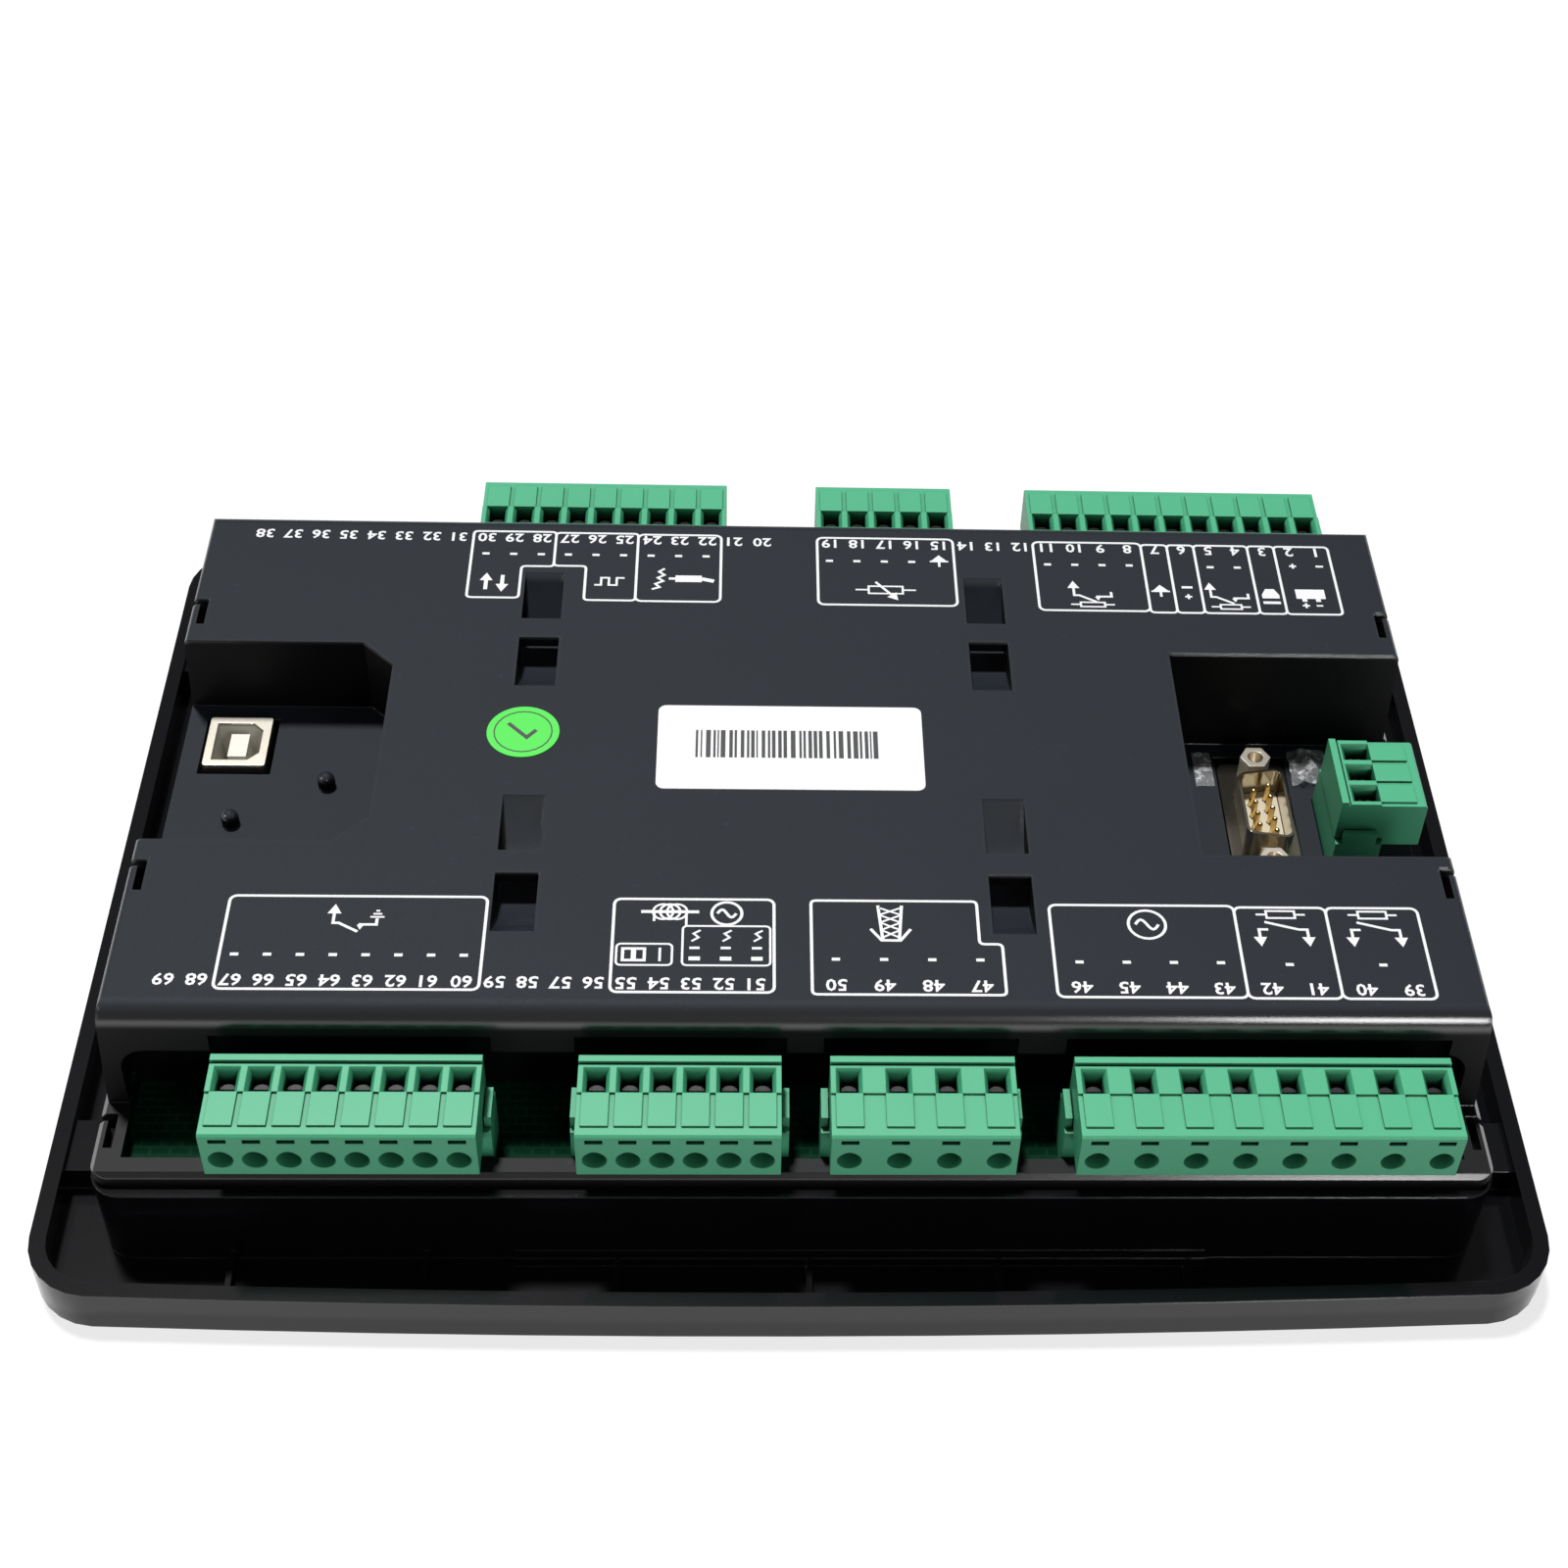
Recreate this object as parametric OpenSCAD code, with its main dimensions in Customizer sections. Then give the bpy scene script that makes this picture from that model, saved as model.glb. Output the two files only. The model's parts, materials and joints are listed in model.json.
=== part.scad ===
// Panel-mounted generator controller, lying on its front with its rear side up.
// X runs along the long side, Y across it, and Z up from the front rim to the rear deck.
// The origin is the middle of the front rim, on the surface that it rests on.

/* [Bezel] */
// How far the bezel stands out beyond the short sides of the body
bezel_side = 10.4; // [8:0.1:16]
// How far the bezel stands out beyond the long sides of the body, at their middle
bezel_long = 13.15; // [11:0.05:18]
// How far the long edges fall away between their middle and the ends
bezel_bow = 2.5; // [0:0.1:4]
// Corner radius of the bezel
bezel_r = 11; // [7:0.5:16]
// Height of the rim that bears on the panel
rim_z = 8.3; // [6:0.1:11]
// Thickness of the rim wall
rim_t = 2.6; // [1.6:0.1:4]
// Thickness of the plate between the rim and the body
plate_t = 2.4; // [1.6:0.1:4]
// Width of the raised border around the front panel
border = 9; // [6:0.5:14]
// Depth of the front panel below the border
front_recess = 0.9; // [0.6:0.1:1.6]
// Thickness of the front wall behind the panel film
front_t = 2; // [1.4:0.1:3]
// Distance between the ribs across the long channels
rib_pitch = 30.2; // [20:0.1:40]
// Thickness of a channel rib
rib_t = 0.9; // [0.6:0.1:2]
// Height of the channel ribs and of the step at the foot of the body
rib_z = 4.4; // [3.5:0.1:6]
// Length of the step at the foot of the body
step_w = 110; // [60:1:180]
// Length of the pads that the panel clips pull against
clip_pad = 10; // [6:0.5:16]
// Distance of the clip pads from the middle line
clip_pad_y = 59; // [50:0.5:62]

/* [Body] */
// Width of the body, which goes through the panel cut-out
body_w = 219.2; // [215:0.1:222]
// Height of the body
body_h = 154.8; // [150:0.1:160]
// Corner radius of the body
body_r = 5; // [3:0.5:9]
// Wall thickness of the housing and the cover
wall = 2.2; // [1.6:0.1:2.6]
// Height of the joint between the housing and the cover, above the main board
joint_rise = 1; // [0.5:0.1:2]
// Height of the ledges below the terminals, above the joint
ledge_rise = 2.7; // [2.3:0.1:4]
// Height of the rear deck above the ledges
deck_rise = 20.4; // [19:0.1:26]
// Depth of the ledges in front of the terminal walls
ledge_d = 14.1; // [12.5:0.1:18]
// How far the terminal walls lean out towards the ledge
wall_lean = 1; // [0:0.1:1.4]
// How far the sides of the cover lean in towards the deck
side_lean = 1.7; // [0:0.1:3]
// Rounding of the deck's long edges
deck_round = 3.6; // [1:0.1:4]
// Rounding of the deck's short edges
side_round = 1; // [0.4:0.1:2]
// How far the ledge is set back from the housing's long walls
ledge_set = 2; // [1:0.1:2.6]
// How far the cover's sides are set back from the housing
cover_set = 0.3; // [0.1:0.1:1]
// Depth of the lip that centres the cover in the housing
lip_h = 2.6; // [1.5:0.1:4]
// Thickness of the cover's lip
lip_t = 1.4; // [1:0.1:1.8]

/* [Recesses] */
// Height of the service recess floor above the main board
service_lift = 8.4; // [6:0.1:9]
// Far edge of the service recess
service_far = 24.4; // [22:0.1:26]
// Near edge of the service recess
service_near = -23.6; // [-26:0.1:-20]
// Depth of the service recess from the side of the deck
service_in = 36.9; // [34:0.1:44]
// Corner cut of the service recess
service_cut = 5.6; // [3:0.1:9]
// Height of the serial recess floor above the main board
serial_lift = 1.8; // [1.7:0.1:2.8]
// Far edge of the serial recess
serial_far = 23.8; // [22.5:0.1:26]
// Near edge of the serial recess
serial_near = -25.5; // [-27:0.1:-22]
// Depth of the serial recess from the side of the deck
serial_in = 41.6; // [40:0.1:46]
// Distance of the baffles that close the electronics from the terminal walls
baffle_set = 4; // [2:0.1:6]
// Thickness of the recess walls
recess_t = 1.5; // [1:0.1:1.5]
// Diameter of the domed pegs in the service recess
peg_d = 3; // [2:0.1:4]

/* [Tie channels and clip slots] */
// Width of a cable-tie channel
tie_w = 7; // [5:0.1:9]
// Half length of a cable-tie channel
tie_half = 15.1; // [13:0.1:17]
// Depth of a cable-tie channel at its middle
tie_depth = 6; // [5.4:0.1:8]
// Width of the bridge that a tie passes under
tie_bridge = 5; // [3:0.1:7]
// Left row of tie channels, from the middle
tie_left = -45.8; // [-50:0.1:-40]
// Right row of tie channels, from the middle
tie_right = 33.8; // [28:0.1:40]
// Distance of the tie channels from the deck's middle line
tie_y = 28.4; // [26:0.1:32]
// Length of a panel-clip slot
clip_len = 6.6; // [5:0.1:9]
// Width of a panel-clip slot
clip_slot = 1.4; // [1:0.1:2]
// Distance of a panel-clip slot from the side
clip_in = 2.8; // [2.4:0.1:4]

/* [Boards] */
// Height of the main board's top face
board_top = 17.6; // [17:0.1:17.8]
// Thickness of the circuit boards
board_t = 1.6; // [1:0.1:2]
// Gap between the main board and the walls round it
board_gap = 0.5; // [0.3:0.1:1]
// Width of the display board
display_w = 186; // [176:1:190]
// Height of the display board
display_h = 132; // [126:1:136]
// Diameter of the pillars that carry the boards
pillar_d = 7; // [5:0.5:9]
// Diameter of the board screws
screw_d = 3; // [2:0.5:4]

/* [Front] */
// Thickness of the front panel film
film_t = 0.5; // [0.3:0.1:0.8]
// Width of the display window
window_w = 82; // [70:1:92]
// Height of the display window
window_h = 46; // [40:1:54]
// Thickness of the display module
lcd_t = 5.6; // [5.2:0.1:6]
// Width of a front key
key_w = 13; // [10:0.5:14]
// Travel of a front key
key_travel = 0.8; // [0.4:0.1:1]
// Gap round a front key
key_gap = 0.3; // [0.2:0.05:0.5]
// How far the keys stand above the front panel
key_proud = 0.5; // [0.2:0.1:0.5]
// Distance between the keys of the cross
cross_pitch = 17; // [16.5:0.5:22]
// Distance between the keys of the bottom row
row_pitch = 40; // [20:1:42]

/* [Terminals] */
// How far the wire faces stand out beyond the ledges
terminal_out = 3; // [2:0.1:4]
// Depth of a plug behind its wire face
plug_d = 15; // [14.6:0.1:15]
// Height of a plug's top above the main board
plug_rise = 18.1; // [17.4:0.1:19]
// Height of a plug's wire face
face_h = 9.8; // [9:0.1:10.2]
// Length of a plug beyond its outer wire holes
plug_end = 2.85; // [2.6:0.05:3]
// Diameter of a wire hole
wire_d = 3.8; // [3:0.1:3.8]
// Height of a header above the main board
header_rise = 9.6; // [8:0.1:9.8]
// Thickness of a header's walls
header_t = 1.1; // [0.8:0.1:1.2]
// Depth of a header
header_d = 8; // [7.6:0.1:8]
// Distance of a header from the wire face
header_set = 6.9; // [6.8:0.1:7.2]
// Gap between a plug and its header
plug_gap = 0.25; // [0.15:0.05:0.4]
// Distance between the ways of most rows
fine_pitch = 5.08; // [5:0.01:5.08]
// Distance between the ways of the rows for mains voltage
wide_pitch = 7.62; // [7.5:0.01:7.62]
// Gap before the near eight-way row
near_gap_a = 13; // [8:0.1:20]
// Gap between the near eight-way and six-way rows
near_gap_b = 14.6; // [4:0.1:20]
// Gap between the near six-way and four-way rows
near_gap_c = 7.5; // [4:0.1:20]
// Gap between the near four-way and wide eight-way rows
near_gap_d = 9.3; // [4:0.1:20]
// Gap after the near wide eight-way row
near_gap_end = 2.2; // [1.8:0.1:10]
// Gap before the far nine-way row
far_gap_a = 43.7; // [8:0.1:50]
// Gap between the far nine-way and five-way rows
far_gap_b = 17.2; // [4:0.1:24]
// Gap between the far five-way and eleven-way rows
far_gap_c = 14.6; // [4:0.1:24]
// Gap after the far eleven-way row
far_gap_end = 2.2; // [1.8:0.1:10]
// Middle of the side three-way row
side_mid = 0.3; // [-1:0.1:2]
// Distance of the side plug's wire face from the side of the body
side_set = 1.4; // [0.5:0.1:2]

/* [Ports] */
// Middle of the service socket from the side of the body
service_x = 11; // [9.5:0.1:14]
// Middle of the service socket along the side
service_y = 14; // [12:0.1:15]
// Length of the service socket
service_l = 12.04; // [11.5:0.01:13]
// Width of the service socket
service_w = 10.9; // [10.4:0.05:11.5]
// Height of the service socket above the main board
service_rise = 9.7; // [9.5:0.1:11]
// Middle of the serial port from the side of the body
serial_x = 26.6; // [26:0.1:27]
// Middle of the serial port along the side
serial_y = 2.9; // [2:0.1:3.5]
// Length of the serial port's flange
flange_l = 30.8; // [30.8:0.1:32]
// Width of the serial port's flange
flange_w = 12.5; // [12:0.1:12.6]
// Length of the serial port's shell
shell_l = 16.9; // [16.5:0.1:17.2]
// Width of the serial port's shell
shell_w = 8.4; // [8:0.1:8.6]
// Height of the serial port's shell above its flange
shell_rise = 5.8; // [5:0.1:6.2]
// Distance between the two jack screws
jack_pitch = 25; // [25:0.1:25.4]
// Width of a jack screw across its flats
jack_w = 4.8; // [4.4:0.1:5]
// Bore of a jack screw
jack_bore = 2.8; // [2:0.1:3]

/* [Labels] */
// Width of the blank rear label
label_w = 45.2; // [30:0.1:50]
// Height of the blank rear label
label_h = 20.2; // [12:0.1:24]
// Thickness of the labels
label_t = 0.2; // [0.1:0.05:0.4]
// Diameter of the round check sticker
sticker_d = 12.3; // [8:0.1:14]

/* [Hidden] */
$fn = 48;
eps = 0.01;
fit = 0.2;
sink = 0.5;

// Front stack, from the floor up
front_out = front_recess + film_t;
front_in = front_out + front_t;
lcd_z = front_in + fit;
display_z = lcd_z + lcd_t;
display_top = display_z + board_t;
board_z = board_top - board_t;
joint_z = board_top + joint_rise;
ledge_z = joint_z + ledge_rise;
deck_z = ledge_z + deck_rise;
service_floor = board_top + service_lift;
serial_floor = board_top + serial_lift;

// Body and cover, half sizes in plan
body_x = body_w / 2;
body_y = body_h / 2;
bezel_w = body_w + 2 * bezel_side;
bezel_h = body_h + 2 * bezel_long;
skirt_x = body_x - cover_set;
skirt_y = body_y - ledge_set;
deck_x = skirt_x - side_lean;
deck_y = skirt_y - ledge_d - wall_lean;
terminal_y = skirt_y + terminal_out;
lip_x = body_x - wall - fit;
lip_y = body_y - wall - fit;
board_x = lip_x - lip_t - board_gap;
board_y = min(lip_y - lip_t, skirt_y - wall) - board_gap;

lip_r = body_r - wall;
ledge_cut = 0.8;

// Ribs, step and clip pads of the bezel
rib_shift = 1.5;
step_x = 10;
step_t = 1.6;
pad_drop = 1.2;

// Cover slots, pegs and cable-tie channels
clip_far = service_far + 11;
clip_near = service_near - 4.6;
tie_mid = 0.4;
peg_places = [[27.6, 4.4], [12.4, -4.9]];

// Terminal openings in the cover
strip_y = skirt_y - 3.5;
wall_in = deck_y - wall - 1;
baffle_y = deck_y - wall - baffle_set;
open_x = skirt_x - 6;
open_z = deck_z - 8.4;
open_r = 4;
open_grow = 2;
notch_z = deck_z - 5;

// Plug and header heights
plug_top = board_top + plug_rise;
plug_low = plug_top - face_h;
header_top = board_top + header_rise;
header_floor = board_top + 1.6;
ear_h = 2.4;
bead = 0.4;
pad_w = 4.2;
pad_y = 1.8;
step_y = 8.1;
seat_z = header_top + plug_gap;
wire_z = plug_low + wire_d / 2 + 1.6;
square_w = 2.9;
square_l = 4.2;
square_y = step_y + square_l / 2;
funnel_w = 4.1;
funnel_h = 1;
funnel_far = 0.7;
nick_w = 2.7;
nick_d = 0.9;
throat_d = 3;
cage_w = 3.6;
cage_t = 0.6;
cage_l = 4.8;
cage_z = seat_z + 0.8;
cage_h = 3.6;
cage_top = cage_z + cage_h;
clamp_d = 2.2;
clamp_h = 1.2;
slot_w = 0.6;
pin_w = 1;
pin_tail = 1.8;
pin_low = 1.4;
pin_y = header_set + header_d / 2;

// Ways, pitch, side and middle of each terminal row
NEAR = 0;
FAR = 1;
SIDE = 2;
near_plan = [[8, fine_pitch], [6, fine_pitch], [4, wide_pitch], [8, wide_pitch]];
near_gaps = [near_gap_a, near_gap_b, near_gap_c, near_gap_d, near_gap_end];
far_plan = [[9, fine_pitch], [5, fine_pitch], [11, fine_pitch]];
far_gaps = [far_gap_a, far_gap_b, far_gap_c, far_gap_end];
row_near_a = placed(near_plan, near_gaps, 0, NEAR);
row_near_b = placed(near_plan, near_gaps, 1, NEAR);
row_near_c = placed(near_plan, near_gaps, 2, NEAR);
row_near_d = placed(near_plan, near_gaps, 3, NEAR);
row_far_a = placed(far_plan, far_gaps, 0, FAR);
row_far_b = placed(far_plan, far_gaps, 1, FAR);
row_far_c = placed(far_plan, far_gaps, 2, FAR);
row_side = [3, fine_pitch, SIDE, side_mid];
rows = [row_near_a, row_near_b, row_near_c, row_near_d, row_far_a, row_far_b, row_far_c, row_side];

// Ports
service_mid = [service_x - body_x, service_y];
service_top = board_top + service_rise;
serial_mid = [body_x - serial_x, serial_y];
flange_z = board_top + 1.2;
flange_t = 0.8;
flange_top = flange_z + flange_t;
shell_top = flange_top + shell_rise;
shell_t = 0.5;
shell_r = 1.8;
shell_lean = 0.8;
jack_h = 4.8;
jack_d = 2.7;
jack_floor = 0.8;
port_gap = 0.9;
mouth_t = 1.4;
mouth_cut = 1.8;
tongue_w = 3.2;
tongue_l = 5.6;
pin_pitch = 2.77;
pin_rows = 2.84;
side_face = body_x - side_set;

// Front keys and lights, seen from behind: x to the right, y towards the bottom edge
window_mid = [-20, -28];
window_r = 1.5;
window_rim = 3;
window_seat = front_out + 1;
lcd_glass = 1.2;
cross_mid = [62, -28];
row_y = 46;
light_in = 15;
lights_x = light_in - display_w / 2;
light_d = 3;
light_pitch = 12;
key_lap = 1;
key_r = 2.2;
stem_d = 4;
key_back = front_in + fit;
key_flange = 1;
switch_h = 2.4;
switch_w = 6;
button_h = 0.8;
stem_end = display_z - switch_h - key_travel - fit;

// Board fixings and the parts on the main board
pillar_in = 6;
pillar_y = baffle_y - recess_t - pillar_d;
display_pillars = four_corners(display_w / 2 - pillar_in, display_h / 2 - pillar_in);
board_pillars = four_corners(board_x - pillar_in, pillar_y);
head_h = 0.6 * screw_d;
screw_hold = 4;
link_w = 44;
link_d = 5;
link_y = 42.5;
relay_w = 12;
relay_l = 20;
relay_room = 2.6;
relay_h = deck_z - tie_depth - recess_t - relay_room - board_top;
relay_y = pillar_d + recess_t + relay_l / 2 - baffle_y;
relay_pitch = 17;
can_d = 10;
can_y = baffle_y - recess_t - pillar_d - can_d / 2;
can_pitch = 13;

// Labels and film
label_mid = [-1.6, -1.2];
sticker_mid = [-47, 2];
scrap_l = 6.8;
scrap_w = 8.6;

// Shapes used more than once

function arc(mid, r, from, to, steps = 6) =
    [for (i = [0:steps]) let (a = from + (to - from) * i / steps) mid + r * [cos(a), sin(a)]];

function round_rect(w, h, r) = concat(
    arc([w / 2 - r, h / 2 - r], r, 0, 90), arc([r - w / 2, h / 2 - r], r, 90, 180),
    arc([r - w / 2, r - h / 2], r, 180, 270), arc([w / 2 - r, r - h / 2], r, 270, 360));

// Bezel edge: bowed long sides, straight short sides and round corners
function bow_y(x) = bezel_h / 2 - bezel_bow * pow(2 * x / bezel_w, 2);

function bezel_outline(inset) =
    let (cx = bezel_w / 2 - bezel_r, cy = bow_y(cx) - bezel_r, r = max(bezel_r - inset, 0.5), steps = 10)
    let (half = concat(
        arc([cx, cy], r, 0, 86),
        [for (i = [1:steps - 1]) let (x = cx * (1 - 2 * i / steps)) [x, bow_y(x) - inset]],
        arc([-cx, cy], r, 94, 180)))
    concat(half, -half);

// Half section of the cover, inset by t, as [distance from the middle, height]
function cover_half(foot, edge, skirt, round, t) = concat(
    [[skirt - t, joint_z - (t > 0 ? wall : 0)], [skirt - t, ledge_z - t - ledge_cut],
     [skirt - t - ledge_cut, ledge_z - t], [foot - t, ledge_z - t]],
    arc([edge - round, deck_z - round], max(round - t, fit), 0, 90));

function mirrored(half) = concat(
    half, [for (i = [len(half) - 1:-1:0]) [-half[i][0], half[i][1]]]);

function four_corners(x, y) = [for (sx = [-1, 1], sy = [-1, 1]) [sx * x, sy * y]];

function span(mid, size) = [mid - size / 2, mid + size / 2];
function total(list, count) = count == 0 ? 0 : list[count - 1] + total(list, count - 1);

// Rows along one long side: the gaps share out what the rows leave free of the opening
function placed(plan, gaps, i, side) =
    let (lengths = [for (row = plan) (row[0] - 1) * row[1] + 2 * plug_end], count = len(gaps))
    let (stretch = (2 * open_x - total(lengths, count - 1)) / total(gaps, count))
    let (before = stretch * total(gaps, i + 1) + total(lengths, i))
    [plan[i][0], plan[i][1], side, before + lengths[i] / 2 - open_x];

function way_x(row) = [for (i = [0:row[0] - 1]) (i - (row[0] - 1) / 2) * row[1]];
function row_half(row) = (row[0] - 1) * row[1] / 2;

module plate(points, z0, z1) {
    translate([0, 0, z0]) linear_extrude(z1 - z0) polygon(points);
}

module box(x, y, z) {
    translate([x[0], y[0], z[0]]) cube([x[1] - x[0], y[1] - y[0], z[1] - z[0]]);
}

module at(place) {
    translate([place[0], place[1], 0]) children();
}

// Row frame: x along the ways, y from the wire face inwards
module at_row(row) {
    if (row[2] == NEAR) translate([row[3], -terminal_y, 0]) children();
    if (row[2] == FAR) translate([row[3], terminal_y, 0]) rotate([0, 0, 180]) children();
    if (row[2] == SIDE) translate([side_face, row[3], 0]) rotate([0, 0, 90]) children();
}

module at_ways(row) {
    at_row(row) for (x = way_x(row)) translate([x, 0, 0]) children();
}

// Front housing

module bezel_shell() {
    plate(bezel_outline(0), 0, plate_t);
    difference() {
        plate(bezel_outline(0), 0, rim_z);
        plate(bezel_outline(rim_t), -1, rim_z + 1);
    }
}

module body_shell() {
    difference() {
        plate(round_rect(body_w, body_h, body_r), 0, joint_z);
        plate(round_rect(body_w - 2 * wall, body_h - 2 * wall, lip_r), front_in, joint_z + 1);
    }
}

module channel_ribs() {
    count = floor((body_w - 2 * body_r) / 2 / rib_pitch);
    for (sy = [0, 1]) mirror([0, sy, 0]) {
        for (i = [-count:count - 1]) {
            x = i * rib_pitch + rib_shift;
            box(span(x, rib_t), [body_y - sink, bow_y(x) - rim_t + sink], [plate_t - sink, rib_z]);
        }
        box(span(step_x, step_w), [body_y - sink, body_y + step_t], [plate_t - sink, rib_z]);
    }
    for (sx = [0, 1], sy = [-1, 1]) mirror([sx, 0, 0])
        box([body_x - sink, bezel_w / 2 - rim_t + sink], span(sy * clip_pad_y, clip_pad),
            [plate_t - sink, rim_z - pad_drop]);
}

module pillars(places, top) {
    for (p = places) translate([p[0], p[1], front_in - sink])
        cylinder(d = pillar_d, h = top - front_in + sink);
}

module front_openings() {
    at(window_mid) {
        plate(window_outline(0), 0, front_in + 1);
        plate(window_outline(window_rim), 0, window_seat);
    }
    for (p = key_places()) at(p) plate(key_outline(key_gap), 0, front_in + 1);
    for (p = light_places()) at(p) cylinder(d = light_d + 2 * fit, h = 2 * front_in, center = true);
}

module front_housing() color("#232528") difference() {
    union() {
        bezel_shell();
        body_shell();
        channel_ribs();
        pillars(display_pillars, display_z);
        pillars(board_pillars, board_z);
    }
    plate(bezel_outline(border), -1, front_out);
    front_openings();
    for (p = display_pillars) translate([p[0], p[1], front_in]) cylinder(d = screw_d, h = display_z);
    for (p = board_pillars) translate([p[0], p[1], front_in]) cylinder(d = screw_d, h = board_z);
}

// Front film, window, display and keys

function key_places() = concat(
    [for (d = [[0, -1], [0, 1], [-1, 0], [1, 0], [0, 0]]) cross_mid + cross_pitch * d],
    [for (i = [-2:2]) [i * row_pitch, row_y]]);

function light_places() = [for (i = [0:3]) [lights_x, window_mid[1] + (i - 1.5) * light_pitch]];

function window_outline(g) = round_rect(window_w + 2 * g, window_h + 2 * g, window_r);

function key_outline(g) = round_rect(key_w + 2 * g, key_w + 2 * g, key_r);

module front_film() color("#1c1d20") difference() {
    plate(bezel_outline(border + fit), front_recess, front_out);
    front_openings();
}

module display_window() color("#7d8a86", 0.6) at(window_mid) {
    plate(window_outline(window_rim - fit), front_recess, window_seat);
    plate(window_outline(-fit), front_out, front_in);
}

module display_module() color("#8f9a8a") at(window_mid) {
    plate(window_outline(window_rim), lcd_z + lcd_glass, display_z);
    plate(window_outline(-window_rim), lcd_z, lcd_z + lcd_glass + eps);
}

module display_board() color("#1f6b4a") difference() {
    plate(round_rect(display_w, display_h, 2), display_z, display_top);
    screw_holes(display_pillars, display_z);
}

module screw_holes(places, z) {
    for (p = places) translate([p[0], p[1], z - 1]) cylinder(d = screw_d + 2 * fit, h = 2 + board_t);
}

module pan_screws(places, seat, depth) {
    for (p = places) translate([p[0], p[1], seat]) {
        difference() {
            cylinder(d = 2 * screw_d, h = head_h);
            for (a = [0, 90]) translate([0, 0, head_h]) rotate([0, 0, a])
                cube([screw_d, slot_w, 2 * slot_w], center = true);
        }
        translate([0, 0, -depth]) cylinder(d = screw_d - 2 * fit, h = depth + eps);
    }
}

module display_screws() color("silver") pan_screws(display_pillars, display_top, board_t + screw_hold);

module key(place) color("#2a2c30") at(place) {
    plate(key_outline(0), front_recess - key_proud, key_back + eps);
    plate(key_outline(key_lap), key_back, key_back + key_flange);
    translate([0, 0, key_back]) cylinder(d = stem_d, h = stem_end - key_back);
}

module key_switches() color("#3a3a3a") for (p = key_places()) at(p) {
    box(span(0, switch_w), span(0, switch_w), [display_z - switch_h + button_h, display_z]);
    translate([0, 0, display_z - switch_h]) cylinder(d = stem_d, h = button_h + eps);
}

module status_lights() color("#d9d2c0") for (p = light_places()) at(p) {
    translate([0, 0, front_recess]) cylinder(d = light_d, h = display_z - front_recess);
    translate([0, 0, key_back]) cylinder(d = light_d + 2 * key_lap, h = key_flange);
}

module board_link() color("#17181a") box(span(0, link_w), span(link_y, link_d), [display_top, board_z]);

// Main board and what stands on it

module main_board() color("#1d7a4c") difference() {
    plate(round_rect(2 * board_x, 2 * board_y, 2), board_z, board_top);
    screw_holes(board_pillars, board_z);
    for (row = rows) at_ways(row)
        box(span(0, pin_w + fit), span(pin_y, pin_w + fit), [board_z - 1, board_top + 1]);
}

module board_screws() color("silver") pan_screws(board_pillars, board_top, board_t + screw_hold);

module relays() color("#15161a") for (i = [0:3])
    box(span((i - 1.5) * relay_pitch, relay_w), span(relay_y, relay_l), [board_top, board_top + relay_h]);

module capacitors() color("#2b3550") for (i = [0:3])
    translate([(i - 1.5) * can_pitch, can_y, board_top]) cylinder(d = can_d, h = relay_h);

// Rear cover

module cover_solid(t) {
    long = mirrored(cover_half(deck_y + wall_lean, deck_y, skirt_y, deck_round, t));
    short = mirrored(cover_half(skirt_x - ledge_cut, deck_x, skirt_x, side_round, t));
    intersection() {
        rotate([90, 0, 90]) linear_extrude(body_w, center = true) polygon(long);
        rotate([90, 0, 0]) linear_extrude(body_h, center = true) polygon(short);
        plate(round_rect(2 * (skirt_x - t), 2 * (skirt_y - t), max(lip_r - t, sink)), 0, deck_z + 1);
    }
}

module cover_lip() {
    difference() {
        plate(round_rect(2 * lip_x, 2 * lip_y, lip_r - fit), joint_z - lip_h, joint_z + 1);
        plate(round_rect(2 * (lip_x - lip_t), 2 * (lip_y - lip_t), sink), joint_z - lip_h - 1, joint_z + 2);
    }
}

// Outline of the service recess, grown by g, with two cut corners and an open side
function service_outline(g) =
    let (right = service_in - deck_x, cut = service_cut - 0.4 * g, out = -body_x - 5)
    [[out, service_far + g], [right - cut, service_far + g], [right + g, service_far - cut],
     [right + g, service_near + cut], [right - cut, service_near - g], [out, service_near - g]];

module serial_space(g, z0, z1) {
    box([deck_x - serial_in - g, body_x + 5], [serial_near - g, serial_far + g], [z0, z1]);
}

module recess_walls() intersection() {
    cover_solid(0);
    union() {
        plate(service_outline(recess_t), service_floor - recess_t, deck_z);
        serial_space(recess_t, serial_floor - recess_t, deck_z);
    }
}

module recess_cuts() {
    plate(service_outline(0), service_floor, deck_z + 1);
    serial_space(0, serial_floor, deck_z + 1);
    at(service_mid)
        box(span(0, service_w + 2 * port_gap), span(0, service_l + 2 * port_gap), [board_top, deck_z]);
    at(serial_mid) box(span(0, flange_w + 2 * fit), span(port_gap, flange_l + 2 * port_gap + 2 * fit),
        [0, serial_floor + 1]);
    at_row(row_side) box([-1, 1] * (row_half(row_side) + plug_end + header_t + 2 * fit),
        [header_set - fit, header_set + header_d + fit], [0, serial_floor + 1]);
}

module at_ties() {
    for (x = [tie_left, tie_right], sy = [-1, 1]) translate([x, tie_mid + sy * tie_y, 0]) children();
}

module tie_round(grow) {
    r = (tie_half * tie_half + tie_depth * tie_depth) / (2 * tie_depth);
    translate([0, 0, deck_z + r - tie_depth]) rotate([0, 90, 0])
        cylinder(r = r + grow, h = tie_w + 2 * grow, center = true, $fn = 96);
}

module tie_pocket() intersection() {
    tie_round(recess_t);
    box([-1, 1] * tie_w, [-1, 1] * (tie_half + 2 * recess_t), [deck_z - 2 * tie_depth, deck_z]);
}

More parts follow.
